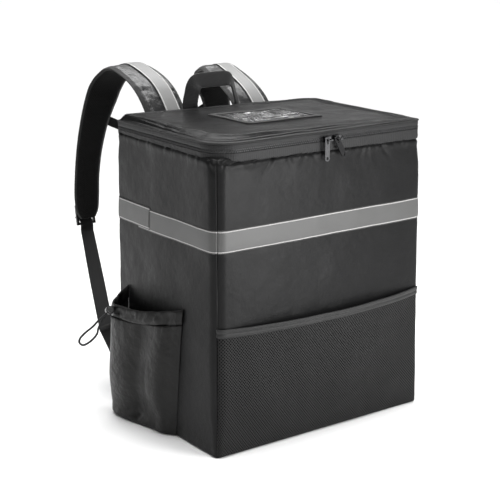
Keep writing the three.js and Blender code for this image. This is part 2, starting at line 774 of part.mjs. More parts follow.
// Chest strap: a webbing on the back of each shoulder strap, sagging to a buckle in the middle
const chestY = strapAt(chestHeight - chestWidth / 2).y + strapThickness / 2 + stripeThickness +
  3 * gap + webThickness / 2
function chestWebbing(side) {
  const pad = strapAt(chestHeight)
  const outer = pad.x + strapWidth / 6
  const inner = pad.x - strapWidth / 3
  const reach = chestBuckleWidth / 2 + gap
  const fall = (share) => ({ x: mix(inner, reach, share),
    z: chestHeight - chestSag * Math.sin(Math.min(share / 0.9, 1) * Math.PI / 2) })
  const line = [{ x: outer, z: chestHeight }, ...[0, 0.15, 0.35, 0.6, 0.9, 0.95, 1].map(fall)]
  return band(line.map(({ x, z }) => ({ place: vec(side * x, chestY, z), across: vec(0, 0, 1),
    width: chestWidth, thickness: webThickness })), flatSection)
}
const chestBuckle = () =>
  new THREE.BoxGeometry(chestBuckleWidth, chestBuckleThickness, chestBuckleHeight)
    .translate(0, chestY, chestHeight - chestSag)

// Haul handle: flat against the back at its roots, turning on edge across the top. Side and up are
// shares of the half span and the rise, and across is the direction of the webbing's width.
const handleShape = [
  { side: 0.88, up: 0, lean: 0, across: [1, 0, 0] },
  { side: 0.9, up: 0.22, lean: 0.1, across: [1, -0.05, 0] },
  { side: 0.98, up: 0.45, lean: 0.55, across: [0.9, -0.35, 0] },
  { side: 1.16, up: 0.62, lean: 0.9, across: [0.72, -0.69, 0] },
  { side: 1.13, up: 0.8, lean: 1, across: [0.6, -0.7, -0.2] },
  { side: 1.02, up: 0.93, lean: 1, across: [0.45, -0.6, -0.6] },
  { side: 0.8, up: 1, lean: 1, across: [0.1, -0.36, -0.9] },
  { side: 0.3, up: 1.01, lean: 1, across: [0, -0.32, -0.95] },
]
function haulHandle() {
  const rootY = backWallAt(0, handleRoot) + gap + handleThickness / 2
  const station = (row, side) => ({
    place: vec(side * row.side * handleSpan / 2, rootY + handleLean * row.lean, mix(handleRoot, handleTop, row.up)),
    across: vec(-side * row.across[0], row.across[1], row.across[2]),
    width: handleWidth, thickness: handleThickness })
  const left = handleShape.map((row) => station(row, -1))
  const right = handleShape.map((row) => station(row, 1)).reverse()
  return band([...left, ...right], flatSection)
}

// Zip slider: a block on the chain with a bridge of wire bent out of it
const sliderFace = bodyDepth / 2 + sliderDepth
const sliderLevel = chainLow + chainHeight / 2
function zipSlider({ x }) {
  const back = bodyDepth / 2 + gap
  const block = new THREE.BoxGeometry(sliderLength, sliderDepth - gap, sliderHeight)
    .translate(x, -(back + sliderFace) / 2, sliderLevel)
  const legEnd = -sliderFace - bridgeLeg
  const arc = []
  const arcSteps = 6
  for (let i = 0; i <= arcSteps; i++) {
    const angle = Math.PI * (1 - i / arcSteps)
    arc.push(vec(x + bridgeRadius * Math.cos(angle), legEnd - bridgeRadius * Math.sin(angle), sliderLevel))
  }
  const foot = (side) => vec(x + side * bridgeRadius, -sliderFace + bridgeWire, sliderLevel)
  const line = [foot(-1), ...arc, foot(1)]
  const wire = solid(line.map((point, i) => {
    const before = line[Math.max(i - 1, 0)]
    const after = line[Math.min(i + 1, line.length - 1)]
    const tangent = after.clone().sub(before).normalize()
    const out = tangent.clone().cross(vec(0, 0, 1))
    const ring = []
    const sides = 8
    for (let side = 0; side < sides; side++) {
      const angle = (side / sides) * Math.PI * 2
      ring.push(point.clone().addScaledVector(out, bridgeWire * Math.cos(angle))
        .addScaledVector(vec(0, 0, 1), bridgeWire * Math.sin(angle)))
    }
    return ring
  }))
  return join(block, wire)
}

// Pull tab: hangs by its slot on one leg of the bridge, with a round grip hole at its foot
function zipPull({ x, tilt }) {
  const half = pullWidth / 2
  const low = pullRim - pullLength
  const outline = new THREE.Shape()
  outline.moveTo(-half + 1, pullRim)
  outline.lineTo(half - 1, pullRim)
  outline.lineTo(half, pullRim - 1)
  outline.lineTo(half, low + half)
  outline.absarc(0, low + half, half, 0, -Math.PI, true)
  outline.lineTo(-half, pullRim - 1)
  outline.closePath()
  const slot = new THREE.Path([[-1, 0], [-1, -1], [1, -1], [1, 0]]
    .map(([side, down]) => new THREE.Vector2(side * slotWidth / 2, down * slotLength)))
  const grip = new THREE.Path()
  grip.absellipse(0, low + half, half * 0.45, half * 0.6, 0, Math.PI * 2, false)
  outline.holes.push(slot, grip)
  return new THREE.ExtrudeGeometry(outline, { depth: pullThickness, bevelEnabled: false, curveSegments: 10 })
    .translate(0, 0, -pullThickness / 2)
    .rotateX(Math.PI / 2)
    .translate(0, 0, bridgeWire + pullPlay)
    .rotateY(-radians(tilt))
    .translate(x - bridgeRadius, -sliderFace - pullRim - pullPlay, sliderLevel)
}

// Materials
const finish = (color, roughness, metalness = 0) => new THREE.MeshStandardMaterial({ color, roughness, metalness })
const cloth = finish(0x3a3a3c, 0.85)
const mesh = finish(0x232325, 0.9)
const webbing = finish(0x1d1d1f, 0.8)
const padding = finish(0x18181a, 0.9)
const reflective = finish(0x9c9c9e, 0.45)
const plastic = finish(0x242427, 0.35)
const metal = finish(0x8c8c8f, 0.3, 0.9)
const vinyl = finish(0x5a5a5e, 0.1)

const bag = new THREE.Group()
function add(name, geometry, material) {
  const piece = new THREE.Mesh(geometry, material)
  piece.name = name
  bag.add(piece)
}

add('body_shell', bodyShell(), cloth)
add('lid_panel', lidPanel(), cloth)
add('lid_piping', lidPiping(), cloth)
add('lid_window_frame', windowFrame(), cloth)
add('lid_window_film', windowFilm(), vinyl)
add('lid_hinge', lidHinge(), cloth)
add('zip_tape_lower', zipTapeLower(), webbing)
add('zip_tape_upper', zipTapeUpper(), webbing)
add('zip_chain', zipChain(), plastic)
for (const place of sliderPlaces) {
  add(`zip_slider_${place.name}`, zipSlider(place), metal)
  add(`zip_pull_${place.name}`, zipPull(place), metal)
}
add('reflective_band', bandFront(), reflective)
add('reflective_band_end', bandRear(), reflective)
add('mesh_pocket', meshPanel(), mesh)
add('mesh_pocket_hem', meshHemStrip(), cloth)
add('side_pocket', sidePocketBag(), cloth)
add('side_pocket_hem', sidePocketHem(), cloth)
add('cord_lock_barrel', lockBarrel(), plastic)
add('cord_lock_plunger', lockPlunger(), plastic)
add('drawcord', drawcord(), webbing)
for (const [name, side] of [['left', -1], ['right', 1]]) {
  add(`strap_pad_${name}`, strapPad(side), padding)
  add(`strap_stripe_${name}`, strapStripe(side), reflective)
  add(`ladder_lock_${name}`, ladderLock(side), plastic)
  add(`ladder_loop_${name}`, ladderLoop(side), webbing)
  add(`lower_webbing_${name}`, lowerWebbing(side), webbing)
  add(`strap_wing_${name}`, wing(side), cloth)
  add(`chest_webbing_${name}`, chestWebbing(side), webbing)
}
add('chest_buckle', chestBuckle(), plastic)
add('haul_handle', haulHandle(), webbing)

export default bag
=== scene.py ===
"""Looks of the insulated delivery backpack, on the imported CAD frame.

Shapes are worked out in millimetres with +Z up and the front towards -Y, and become metres when
a mesh is made. Grids of points are arrays of rows by columns by 3.
"""
import math
import bpy
import numpy as np
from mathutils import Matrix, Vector


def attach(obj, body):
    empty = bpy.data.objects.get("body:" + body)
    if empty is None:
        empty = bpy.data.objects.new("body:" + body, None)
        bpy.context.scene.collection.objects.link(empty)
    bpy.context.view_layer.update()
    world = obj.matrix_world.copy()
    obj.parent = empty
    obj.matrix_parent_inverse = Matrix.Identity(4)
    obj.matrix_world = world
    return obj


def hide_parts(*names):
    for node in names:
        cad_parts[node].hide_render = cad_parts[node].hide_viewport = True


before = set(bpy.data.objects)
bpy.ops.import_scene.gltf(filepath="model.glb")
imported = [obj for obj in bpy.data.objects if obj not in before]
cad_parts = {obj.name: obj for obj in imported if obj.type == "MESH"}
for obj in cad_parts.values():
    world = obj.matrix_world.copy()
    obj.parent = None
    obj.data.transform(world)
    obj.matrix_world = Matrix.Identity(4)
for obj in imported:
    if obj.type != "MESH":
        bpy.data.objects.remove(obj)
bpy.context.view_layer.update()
MM = 0.001

# Named sizes, the same as in the part's source
BODY_WIDTH, BODY_DEPTH, BODY_HEIGHT = 400, 280, 460
BASE_FLARE, WALL, PANEL_BOW = 5, 7, 3
LID_BASE = 484
# Corner radii of the zip and the lid: front right, back right, back left, front left
ZIP_RADII = np.array([8.0, 18, 4, 45])
CHAIN_LOW, CHAIN_HIGH = 471, 477
BAND_LOW, BAND_HEIGHT, BAND_STEP = 322, 36, 3
MESH_FOOT, MESH_TOP, MESH_HEM, MESH_GAPE, MESH_SAG = 4, 206, 20, 16, 3
POCKET_HEIGHT, POCKET_DEPTH, POCKET_HEM = 219, 44, 25
WINDOW_WIDTH, WINDOW_DEPTH, WINDOW_BACK = 150, 110, 10
GAP, STRIPE_WIDTH = 0.3, 29


# ---------------------------------------------------------------- numbers
def mix(a, b, t):
    return a + (b - a) * t


def smooth(t):
    t = np.clip(t, 0, 1)
    return t * t * (3 - 2 * t)


def bump_at(x, middle, width):
    """A soft bump of height 1."""
    return np.exp(-((x - middle) / width) ** 2)


def unit(v):
    return v / np.maximum(np.linalg.norm(v, axis=-1, keepdims=True), 1e-9)


def noise(points, size, seed, octaves=2):
    """Smooth noise from -1 to 1 whose features have the given size. Points may have 1 to 3 columns."""
    points = np.asarray(points, float)
    if points.shape[-1] < 3:
        points = np.concatenate([points, np.zeros(points.shape[:-1] + (3 - points.shape[-1],))], -1)
    total, weight, reach = 0, 1.0, 0
    for octave in range(octaves):
        table = np.random.RandomState(seed * 17 + octave).uniform(-1, 1, (32, 32, 32))
        place = points / size * 2 ** octave + 7.3 * octave + 0.37
        cell = np.floor(place).astype(int)
        part = smooth(place - cell)
        value = 0
        for corner in np.ndindex(2, 2, 2):
            share = np.prod(np.where(corner, part, 1 - part), axis=-1)
            at = (cell + corner) % 32
            value = value + share * table[at[..., 0], at[..., 1], at[..., 2]]
        total = total + weight * value
        reach += weight
        weight *= 0.5
    return total / reach * 1.6


def line_noise(x, size, seed, octaves=2):
    return noise(np.asarray(x, float)[..., None], size, seed, octaves)


# ---------------------------------------------------------------- meshes
def normals(rows, closed):
    """Normals of a grid, on the side from which columns run anticlockwise as rows rise."""
    if closed:
        along = np.roll(rows, -1, 1) - np.roll(rows, 1, 1)
    else:
        along = np.gradient(rows, axis=1)
    up = np.gradient(rows, axis=0)
    return unit(np.cross(along, up))


def push(rows, amount, closed=False):
    return rows + normals(rows, closed) * np.asarray(amount)[..., None]


def arc(rows, axis, closed=False):
    """Distance along a grid's rows or columns, averaged over the other way."""
    steps = np.linalg.norm(np.diff(rows, axis=axis), axis=-1).mean(1 - axis)
    if closed:
        steps = np.append(steps, np.linalg.norm(rows[:, 0] - rows[:, -1], axis=-1).mean())
    return np.concatenate([[0], np.cumsum(steps)])


def reach(path):
    """Distance along a path's points."""
    return np.concatenate([[0], np.cumsum(np.linalg.norm(np.diff(path, axis=0), axis=1))])


def make(name, verts, faces, uvs, materials, slots=None):
    mesh = bpy.data.meshes.new(name)
    mesh.from_pydata((np.asarray(verts) * MM).tolist(), [], [list(map(int, f)) for f in faces])
    if uvs is not None:
        layer = mesh.uv_layers.new(name="UVMap")
        layer.data.foreach_set("uv", (np.asarray(uvs, float) * MM).ravel())
    materials = materials if isinstance(materials, (list, tuple)) else [materials]
    for each in materials:
        mesh.materials.append(each)
    if slots is not None:
        mesh.polygons.foreach_set("material_index", np.asarray(slots, np.int32))
    mesh.polygons.foreach_set("use_smooth", np.full(len(mesh.polygons), True))
    mesh.update()
    piece = bpy.data.objects.new(name, mesh)
    bpy.context.scene.collection.objects.link(piece)
    return piece


def grid_faces(n, m, closed):
    i = np.arange(n - 1)[:, None]
    j = np.arange(m if closed else m - 1)[None, :]
    k = (j + 1) % m
    return np.stack([i * m + j, i * m + k, (i + 1) * m + k, (i + 1) * m + j], -1).reshape(-1, 4)


def grid(name, rows, material, closed=False, ends=(), uv=None, slots=None):
    """A mesh from a grid. Ends are "low" and "high", closed by a fan. UVs are in millimetres."""
    rows = np.asarray(rows, float)
    n, m = rows.shape[:2]
    across = m if closed else m - 1
    faces = grid_faces(n, m, closed)
    j = np.tile(np.arange(across), n - 1)
    i = np.repeat(np.arange(n - 1), across)
    if uv is None:
        u, v = arc(rows, 1, closed), arc(rows, 0)
        uvs = np.stack([np.stack([u[j + a], v[i + b]], -1) for a, b in ((0, 0), (1, 0), (1, 1), (0, 1))], 1)
    else:
        flat = np.asarray(uv, float).reshape(-1, 2)
        uvs = flat[faces]
    verts = rows.reshape(-1, 3)
    faces = faces.tolist()
    uvs = uvs.reshape(-1, 2)
    for end in ends:
        row = 0 if end == "low" else n - 1
        hub = len(verts)
        verts = np.vstack([verts, rows[row].mean(0)])
        ring = [row * m + k for k in range(m)]
        extra = []
        for k in range(across):
            pair = (ring[k], ring[(k + 1) % m])
            faces.append([hub, pair[1], pair[0]] if end == "low" else [hub, pair[0], pair[1]])
            extra += [verts[corner][:2] for corner in faces[-1]]
        uvs = np.vstack([uvs, np.array(extra)])
    if slots is not None:
        slots = np.concatenate([np.broadcast_to(slots, (n - 1, across)).ravel(),
                                np.zeros(len(faces) - (n - 1) * across)])
    return make(name, verts, faces, uvs, material, slots)


def modifier(piece, kind, **values):
    item = piece.modifiers.new(kind.title(), kind)
    for key, value in values.items():
        setattr(item, key, value)


def thicken(piece, thickness, offset=-1.0, **values):
    modifier(piece, "SOLIDIFY", thickness=thickness * MM, offset=offset, use_even_offset=False, **values)


def place(piece, slot, *nodes, body="bag"):
    """Hands a finished piece to the frame, and hides the CAD nodes that it replaces. The slot is not used."""
    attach(piece, body)
    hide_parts(*nodes)


def tube(name, path, radius, material, sides=12, closed=False):
    """A round tube along points, with its UVs along and round it."""
    path = np.asarray(path, float)
    tangent = unit(np.roll(path, -1, 0) - np.roll(path, 1, 0)) if closed else unit(np.gradient(path, axis=0))
    side = unit(np.cross(tangent[0], [0.31, 0.17, 0.93]))
    frames = []
    for t in tangent:
        side = unit(side - t * side.dot(t))
        frames.append(side)
    frames = np.array(frames)
    other = np.cross(tangent, frames)
    angle = np.linspace(0, 2 * np.pi, sides, endpoint=False)
    radius = np.broadcast_to(radius, len(path))[:, None, None]
    rows = path[:, None] + radius * (np.cos(angle)[None, :, None] * frames[:, None]
                                     + np.sin(angle)[None, :, None] * other[:, None])
    if closed:
        rows = np.vstack([rows, rows[:1]])
    return grid(name, rows, material, closed=True, ends=() if closed else ("low", "high"))


def spline(points, steps, closed=False):
    """A smooth curve through points, at even distances."""
    points = np.asarray(points, float)
    if closed:
        points = np.vstack([points[-1:], points, points[:2]])
    else:
        points = np.vstack([2 * points[0] - points[1], points, 2 * points[-1] - points[-2]])
    fine = []
    for k in range(1, len(points) - 2):
        a, b, c, d = points[k - 1:k + 3]
        ab, bc, cd = (max(np.linalg.norm(q - p) ** 0.5, 1e-6) for p, q in ((a, b), (b, c), (c, d)))
        start = (b - a) / ab - (c - a) / (ab + bc) + (c - b) / bc
        end = (c - b) / bc - (d - b) / (bc + cd) + (d - c) / cd
        start, end = start * bc, end * bc
        t = np.linspace(0, 1, 24, endpoint=False)[:, None]
        fine.append((2 * t ** 3 - 3 * t ** 2 + 1) * b + (t ** 3 - 2 * t ** 2 + t) * start
                    + (-2 * t ** 3 + 3 * t ** 2) * c + (t ** 3 - t ** 2) * end)
    fine = np.vstack(fine + [points[-2][None]])
    along = reach(fine)
    at = np.linspace(0, along[-1], steps)
    return np.stack([np.interp(at, along, fine[:, k]) for k in range(points.shape[1])], -1)


# ---------------------------------------------------------------- materials
class Nodes:
    """A material's node tree, with short calls for the nodes that are used here."""

    def __init__(self, name):
        self.material = bpy.data.materials.new(name)
        self.material.use_nodes = True
        self.tree = self.material.node_tree
        self.shader = self.tree.nodes["Principled BSDF"]
        self.coords = self.tree.nodes.new("ShaderNodeTexCoord")

    def add(self, kind, inputs=None, **values):
        node = self.tree.nodes.new("ShaderNode" + kind)
        for key, value in values.items():
            setattr(node, key, value)
        for key, value in (inputs or {}).items():
            self.feed(node.inputs[key], value)
        return node

    def feed(self, socket, value):
        if isinstance(value, bpy.types.NodeSocket):
            self.tree.links.new(value, socket)
        else:
            socket.default_value = value

    def math(self, operation, a, b=0.0, c=0.0):
        return self.add("Math", {0: a, 1: b, 2: c}, operation=operation).outputs[0]

    def surface(self, **values):
        """Sets the shader's inputs, named with _ for each space."""
        for key, value in values.items():
            self.feed(self.shader.inputs[key.replace("_", " ")], value)

    def noise(self, *size, detail=2.0, roughness=0.5):
        """Noise with features of a size in millimetres: one size is for the solid, two are for the UVs."""
        source, size = ("UV", (*size, 1000)) if len(size) == 2 else ("Object", size * 3)
        scaled = self.add("Mapping", {"Vector": self.coords.outputs[source],
                                      "Scale": tuple(1000 / each for each in size)})
        return self.add("TexNoise", {"Vector": scaled.outputs[0], "Scale": 1.0, "Detail": detail,
                                     "Roughness": roughness}).outputs["Fac"]

    def uv(self):
        parts = self.add("SeparateXYZ", {"Vector": self.coords.outputs["UV"]})
        return parts.outputs[0], parts.outputs[1]

    def share(self, value):
        """A value from -1 to 1, brought to 0 to 1."""
        return self.math("MULTIPLY_ADD", value, 0.5, 0.5)

    def wave(self, value, period):
        """A sine of a length in metres, from -1 to 1, with the period in millimetres."""
        return self.math("SINE", self.math("MULTIPLY", value, 2000 * math.pi / period))

    def steps(self, factor, stops):
        """Colours or greys that change sharply at the stops of a factor."""
        node = self.add("ValToRGB", {"Fac": factor})
        ramp = node.color_ramp
        ramp.interpolation = "CONSTANT"
        while len(ramp.elements) < len(stops):
            ramp.elements.new(0.5)
        for element, (position, value) in zip(ramp.elements, stops):
            element.position = position
            element.color = (*value, 1) if isinstance(value, tuple) else (value, value, value, 1)
        return node.outputs[0]

    def blend(self, factor, a, b, kind="MIX"):
        node = self.add("Mix", data_type="RGBA", blend_type=kind, clamp_factor=True)
        for socket, value in ((node.inputs[0], factor), (node.inputs[6], a), (node.inputs[7], b)):
            self.feed(socket, value if not isinstance(value, tuple) or len(value) == 4 else (*value, 1))
        return node.outputs[2]

    def tint(self, color, factor, amount):
        """The colour, lighter and darker by an amount as a factor runs from 0 to 1."""
        shade = self.math("MULTIPLY_ADD", factor, 2 * amount, 1 - amount)
        grey = self.add("CombineColor", {0: shade, 1: shade, 2: shade})
        return self.blend(1.0, color, grey.outputs[0], "MULTIPLY")

    def bump(self, height, depth, before=None):
        """Bump of a height from 0 to 1, whose depth is in millimetres."""
        inputs = {"Height": height, "Distance": depth * MM, "Strength": 1.0}
        if before is not None:
            inputs["Normal"] = before
        return self.add("Bump", inputs).outputs[0]

    def lattice(self, width, height):
        """Height, from 0 to 1, of crossed waves with the given periods."""
        u, v = self.uv()
        return self.share(self.math("MULTIPLY", self.wave(u, width), self.wave(v, height)))

    def weave(self, width):
        """Height of a plain weave whose threads are width apart."""
        return self.lattice(2 * width, 2 * width)


def cloth(name, color, roughness, crumple=0.5, crumple_size=14, tone=0.12, streak=0.0, specular=0.5):
    """Woven cloth: threads, small crumples, and a tone that varies slowly and in streaks."""
    n = Nodes(name)
    color = n.tint((*color, 1), n.noise(60, detail=3), tone)
    if streak:
        color = n.tint(color, n.noise(1.6, 60, detail=2), streak)
    color = n.tint(color, n.noise(1.1, 1.1, detail=1), 0.06)
    rough = n.math("MULTIPLY_ADD", n.noise(25, detail=4), 0.16, roughness - 0.08)
    normal = n.bump(n.noise(crumple_size, detail=3), crumple)
    n.surface(Base_Color=color, Roughness=rough, Specular_IOR_Level=specular,
              Normal=n.bump(n.weave(0.55), 0.05, normal))
    return n.material


def webbing(name, color, rib=1.7, roughness=0.6, across=False, rib_painted_shade=0.22):
    """Webbing: ribs across it and a thread weave between them, with painted shade between the ribs and painted
    highlight on them.
    """
    n = Nodes(name)
    u, v = n.uv()
    if across:
        u, v = v, u
    threads = n.share(n.wave(u, 0.9))
    height = n.math("MULTIPLY_ADD", n.share(n.wave(v, rib)), 0.7, n.math("MULTIPLY", threads, 0.3))
    # Painted shade in the grooves and painted highlight on the ribs, from the rib height
    color = n.tint(n.tint((*color, 1), height, rib_painted_shade), n.noise(30, detail=3), 0.15)
    n.surface(Base_Color=color, Roughness=roughness, Sheen_Weight=0.05, Specular_IOR_Level=0.35,
              Normal=n.bump(height, 0.25))
    return n.material


def reflective(name, width, body, line, margin, edge=3.0, line_width=1.3):
    """Reflective tape: a silver middle with a fine weave, a pale stitched line near each edge, and a
    duller margin outside it. V runs across the tape."""
    n = Nodes(name)
    u, v = n.uv()
    share = n.math("MULTIPLY", v, 1000 / width)
    inner, outer = edge / width, (edge - line_width) / width
    places = (0, outer, inner, 1 - inner, 1 - outer)
    color = n.steps(share, list(zip(places, (margin, line, body, line, margin))))
    on_line = n.steps(share, list(zip(places, (0.0, 1.0, 0.0, 1.0, 0.0))))
    dashes = n.math("GREATER_THAN", n.wave(u, 1.5), -0.35)
    gap = n.math("MULTIPLY", on_line, n.math("SUBTRACT", 1.0, dashes))
    color = n.blend(n.math("MULTIPLY", gap, 0.4), color, (0.10, 0.10, 0.10))
    color = n.tint(color, n.noise(45, 20, detail=4, roughness=0.6), 0.07)
    color = n.tint(color, n.noise(0.7, 0.7, detail=1), 0.06)
    normal = n.bump(n.noise(9, 9, detail=3), 0.12)
    normal = n.bump(n.weave(0.45), 0.03, normal)
    normal = n.bump(n.math("MULTIPLY", on_line, dashes), 0.25, normal)
    n.surface(Base_Color=color, Roughness=0.45, Specular_IOR_Level=0.4, Normal=normal)
    return n.material


def plastic(name, color, roughness):
    n = Nodes(name)
    scuffs = n.noise(2.5, detail=5, roughness=0.7)
    n.surface(Base_Color=n.tint((*color, 1), n.noise(6, detail=4), 0.12),
              Roughness=n.math("MULTIPLY_ADD", scuffs, 0.2, roughness - 0.1),
              Normal=n.bump(n.noise(0.5, detail=2), 0.02))
    return n.material


def metal(name, color, roughness):
    n = Nodes(name)
    spots = n.noise(3, detail=5, roughness=0.7)
    n.surface(Base_Color=n.tint((*color, 1), spots, 0.18), Metallic=1.0,
              Roughness=n.math("MULTIPLY_ADD", spots, 0.25, roughness - 0.1), Normal=n.bump(spots, 0.03))
    return n.material


def net(name, pitch_x, pitch_z, thread, hole_painted_shade):
    """Knitted mesh: staggered holes between threads, painted near black as the shade behind them. What is
    behind shows a little through the holes.
    """
    n = Nodes(name)
    lattice = n.lattice(pitch_x, pitch_z)
    opening = n.math("GREATER_THAN", lattice, 0.62)
    # Painted shade: the holes take a near-black colour
    color = n.blend(opening, n.tint((*thread, 1), n.noise(50, 50, detail=3), 0.15), hole_painted_shade)
    n.surface(Base_Color=color, Roughness=0.5,
              Specular_IOR_Level=n.math("MULTIPLY_ADD", opening, -0.24, 0.24),
              Alpha=n.math("SUBTRACT", 1.0, n.math("MULTIPLY", opening, 0.3)),
              Normal=n.bump(n.math("SUBTRACT", 1.0, lattice), 0.5))
    return n.material


def air_mesh(name, color):
    """Spacer mesh on the wearer's side of the straps: rows of small round pores, painted dark as the shade
    inside them.
    """
    n = Nodes(name)
    pores = n.math("POWER", n.lattice(5.2, 3.6), 2.0)
    # The pores are painted dark: painted shade
    n.surface(Base_Color=n.blend(n.math("MULTIPLY", pores, 0.7), color, (0.004, 0.004, 0.004)),
              Roughness=0.95, Specular_IOR_Level=0.15, Normal=n.bump(n.math("SUBTRACT", 1.0, pores), 0.6))
    return n.material


def film(name):
    """Clear flexible film, with fine crinkles over the modelled ones."""
    n = Nodes(name)
    n.surface(Base_Color=(0.03, 0.03, 0.032, 1), Alpha=0.7, IOR=1.6, Coat_Weight=1.0, Coat_Roughness=0.06,
              Roughness=n.math("MULTIPLY_ADD", n.noise(8, 8, detail=4), 0.1, 0.04),
              Normal=n.bump(n.noise(30, 11, detail=2), 8.0))
    return n.material


SHELL = cloth("shell_cloth", (0.0085, 0.0085, 0.0087), 0.4, streak=0.2, crumple=0.8, specular=0.15)
SHELL_SOFT = cloth("pocket_cloth", (0.011, 0.0108, 0.0105), 0.38, crumple=2.2, crumple_size=13, specular=0.21)
# A darker copy of the shell cloth, as painted shade on the lid's top
LID_CLOTH = cloth("lid_cloth", (0.0065, 0.0065, 0.0067), 0.31, crumple=1.0, crumple_size=24, specular=0.07)
LINING = cloth("lining", (0.012, 0.012, 0.012), 0.7, crumple=0.4)
STRAP_CLOTH = cloth("strap_cloth", (0.017, 0.017, 0.0175), 0.36, crumple=1.4, crumple_size=10, tone=0.2,
                    specular=0.5)
BINDING = webbing("binding", (0.011, 0.011, 0.011), rib=1.2)
# The zip tape gets the strongest painted shade between its ribs
TAPE = webbing("zip_tape", (0.014, 0.014, 0.0145), rib=3.8, across=True, rib_painted_shade=0.5)
HEM = webbing("hem_binding", (0.013, 0.013, 0.013), rib=4.2, roughness=0.5)
WEB = webbing("black_webbing", (0.005, 0.005, 0.0052), roughness=0.75)
# A lighter copy of the black webbing, as painted light on the haul handle
WEB_HANDLE = webbing("handle_webbing", (0.021, 0.021, 0.0215), rib=2.4)
COIL = plastic("zip_coil", (0.02, 0.02, 0.021), 0.4)
PLASTIC = plastic("black_plastic", (0.016, 0.016, 0.017), 0.32)
BUTTON = plastic("button_plastic", (0.05, 0.05, 0.05), 0.28)
METAL = metal("dark_metal", (0.07, 0.07, 0.072), 0.36)
# A darker copy of the metal, as painted shade on the right zip pull
METAL_PAINTED_SHADE = metal("metal_painted_shade", (0.02, 0.02, 0.0205), 0.4)
BAND = reflective("band_tape", BAND_HEIGHT, (0.09, 0.09, 0.0885), (0.5, 0.49, 0.485), (0.048, 0.048, 0.047),
                  edge=3.4, line_width=1.6)
STRIPE = reflective("strap_tape", STRIPE_WIDTH, (0.24, 0.24, 0.237), (0.7, 0.7, 0.69), (0.1, 0.1, 0.1),
                    edge=3.2, line_width=2.2)
# The last colour is the painted shade in the holes
NET = net("pocket_mesh", 4.6, 5.4, (0.013, 0.013, 0.013), (0.0005, 0.0005, 0.0005))
AIR_MESH = air_mesh("air_mesh", (0.012, 0.012, 0.012))
FILM = film("window_film")
CORD = webbing("cord_braid", (0.02, 0.02, 0.021), rib=1.6)


# ---------------------------------------------------------------- plan of the bag
FRONT_STEPS, SIDE_STEPS, CORNER_STEPS = 150, 104, 24


def columns():
    """Which stretch of the plan each column lies on (0 front, 1 corner, 2 right, 3 corner and so on),
    and its share along it: -1 to 1 on a side, 0 to 1 round a corner."""
    which, share = [], []
    for stretch, steps in enumerate((FRONT_STEPS, CORNER_STEPS, SIDE_STEPS, CORNER_STEPS) * 2):
        if stretch % 2 == 0:
            side = np.linspace(-1, 1, steps + 1)
            which += [stretch] * len(side)
            share += list(side)
        else:
            t = np.linspace(-1, 1, steps + 1)[1:-1]
            which += [stretch] * len(t)
            share += list(0.5 + 0.5 * np.sign(t) * np.abs(t) ** 1.7)
    return np.array(which), np.array(share)


WHICH, SHARE = columns()
COLUMN_COUNT = len(WHICH)


def plan(z, half_x, half_y, radii, bow=0.0):
    """One ring of the bag's plan, anticlockwise from the left end of the front."""
    radii = np.maximum(np.broadcast_to(radii, 4), 0.5)
    hubs = np.array([[sx * (half_x - radius), sy * (half_y - radius)]
                     for (sx, sy), radius in zip(((1, -1), (1, 1), (-1, 1), (-1, -1)), radii)])
    ring = np.zeros((COLUMN_COUNT, 3))
    ring[:, 2] = z
    for stretch in range(8):
        on = WHICH == stretch
        corner = stretch // 2
        angle = (corner - 1 + (SHARE[on] if stretch % 2 else 0 * SHARE[on])) * np.pi / 2
        face = np.stack([np.cos(angle), np.sin(angle)], -1)
        if stretch % 2:
            ring[on, :2] = hubs[corner] + radii[corner] * face
        else:
            t = (SHARE[on, None] + 1) / 2
            start = hubs[corner - 1] + radii[corner - 1] * face
            end = hubs[corner] + radii[corner] * face
            ring[on, :2] = mix(start, end, t) + face * (bow * (1 - SHARE[on] ** 2))[:, None]
    return ring


def along_plan(shape):
    """A value for each column, from the values at the start and end of each stretch."""
    low, high = np.array([shape[stretch] for stretch in WHICH]).T
    return mix(low, high, np.where(WHICH % 2 == 0, (SHARE + 1) / 2, SHARE))


def flare(z):
    return BASE_FLARE * (1 - z / LID_BASE)


def bow(z):
    return PANEL_BOW * np.sin(np.pi * min(max(z, 0) / BODY_HEIGHT, 1))


# Corner radii of the body, in the same order as the zip's: the seam nearest the pocket is the softest
WALL_RADII = np.array([6.0, 8, 6, 20])


def wall_ring(z, offset=0.0, gathered=0.0, radius=WALL_RADII):
    # The corners are tighter where the base panel holds them
    radius = radius * mix(0.5, 1, smooth(z / 90))
    return plan(z, BODY_WIDTH / 2 + flare(z) + offset, BODY_DEPTH / 2 + flare(z) + offset,
                mix(radius, ZIP_RADII, gathered) + offset, bow(z) * (1 - gathered))


def zip_ring(z, offset=0.0):
    return plan(z, BODY_WIDTH / 2 + offset, BODY_DEPTH / 2 + offset, ZIP_RADII + offset)


def from_seam(ring):
    """Signed distance of each column from the nearest corner's middle, plus when past it, with that
    corner's number and the distance along the ring."""
    at = reach(np.vstack([ring, ring[:1]]))
    total, at = at[-1], at[:-1]
    seams = []
    for stretch in (1, 3, 5, 7):
        on = np.where(WHICH == stretch)[0]
        seams.append(at[on[len(on) // 2]])
    gaps = (at[:, None] - np.array(seams)[None] + total / 2) % total - total / 2
    nearest = np.abs(gaps).argmin(1)
    return gaps[np.arange(len(at)), nearest], nearest, at


# ---------------------------------------------------------------- body
# Height of the gathered seam under the zip, along the plan
LIP_SHAPE = {0: (456.5, 454.0), 1: (454.0, 456), 2: (456, 460), 3: (460, 460), 4: (460, 460),
             5: (460, 466), 6: (465.5, 462), 7: (461, 457.5)}
FROM_SEAM, NEAREST, AROUND = from_seam(wall_ring(300))
LIP = along_plan(LIP_SHAPE) + 1.1 * line_noise(AROUND, 26, 3)

# The body's top rows start to lean on the seam at the first height, and reach it at the second
TOP_START, TOP_END = 412, 452

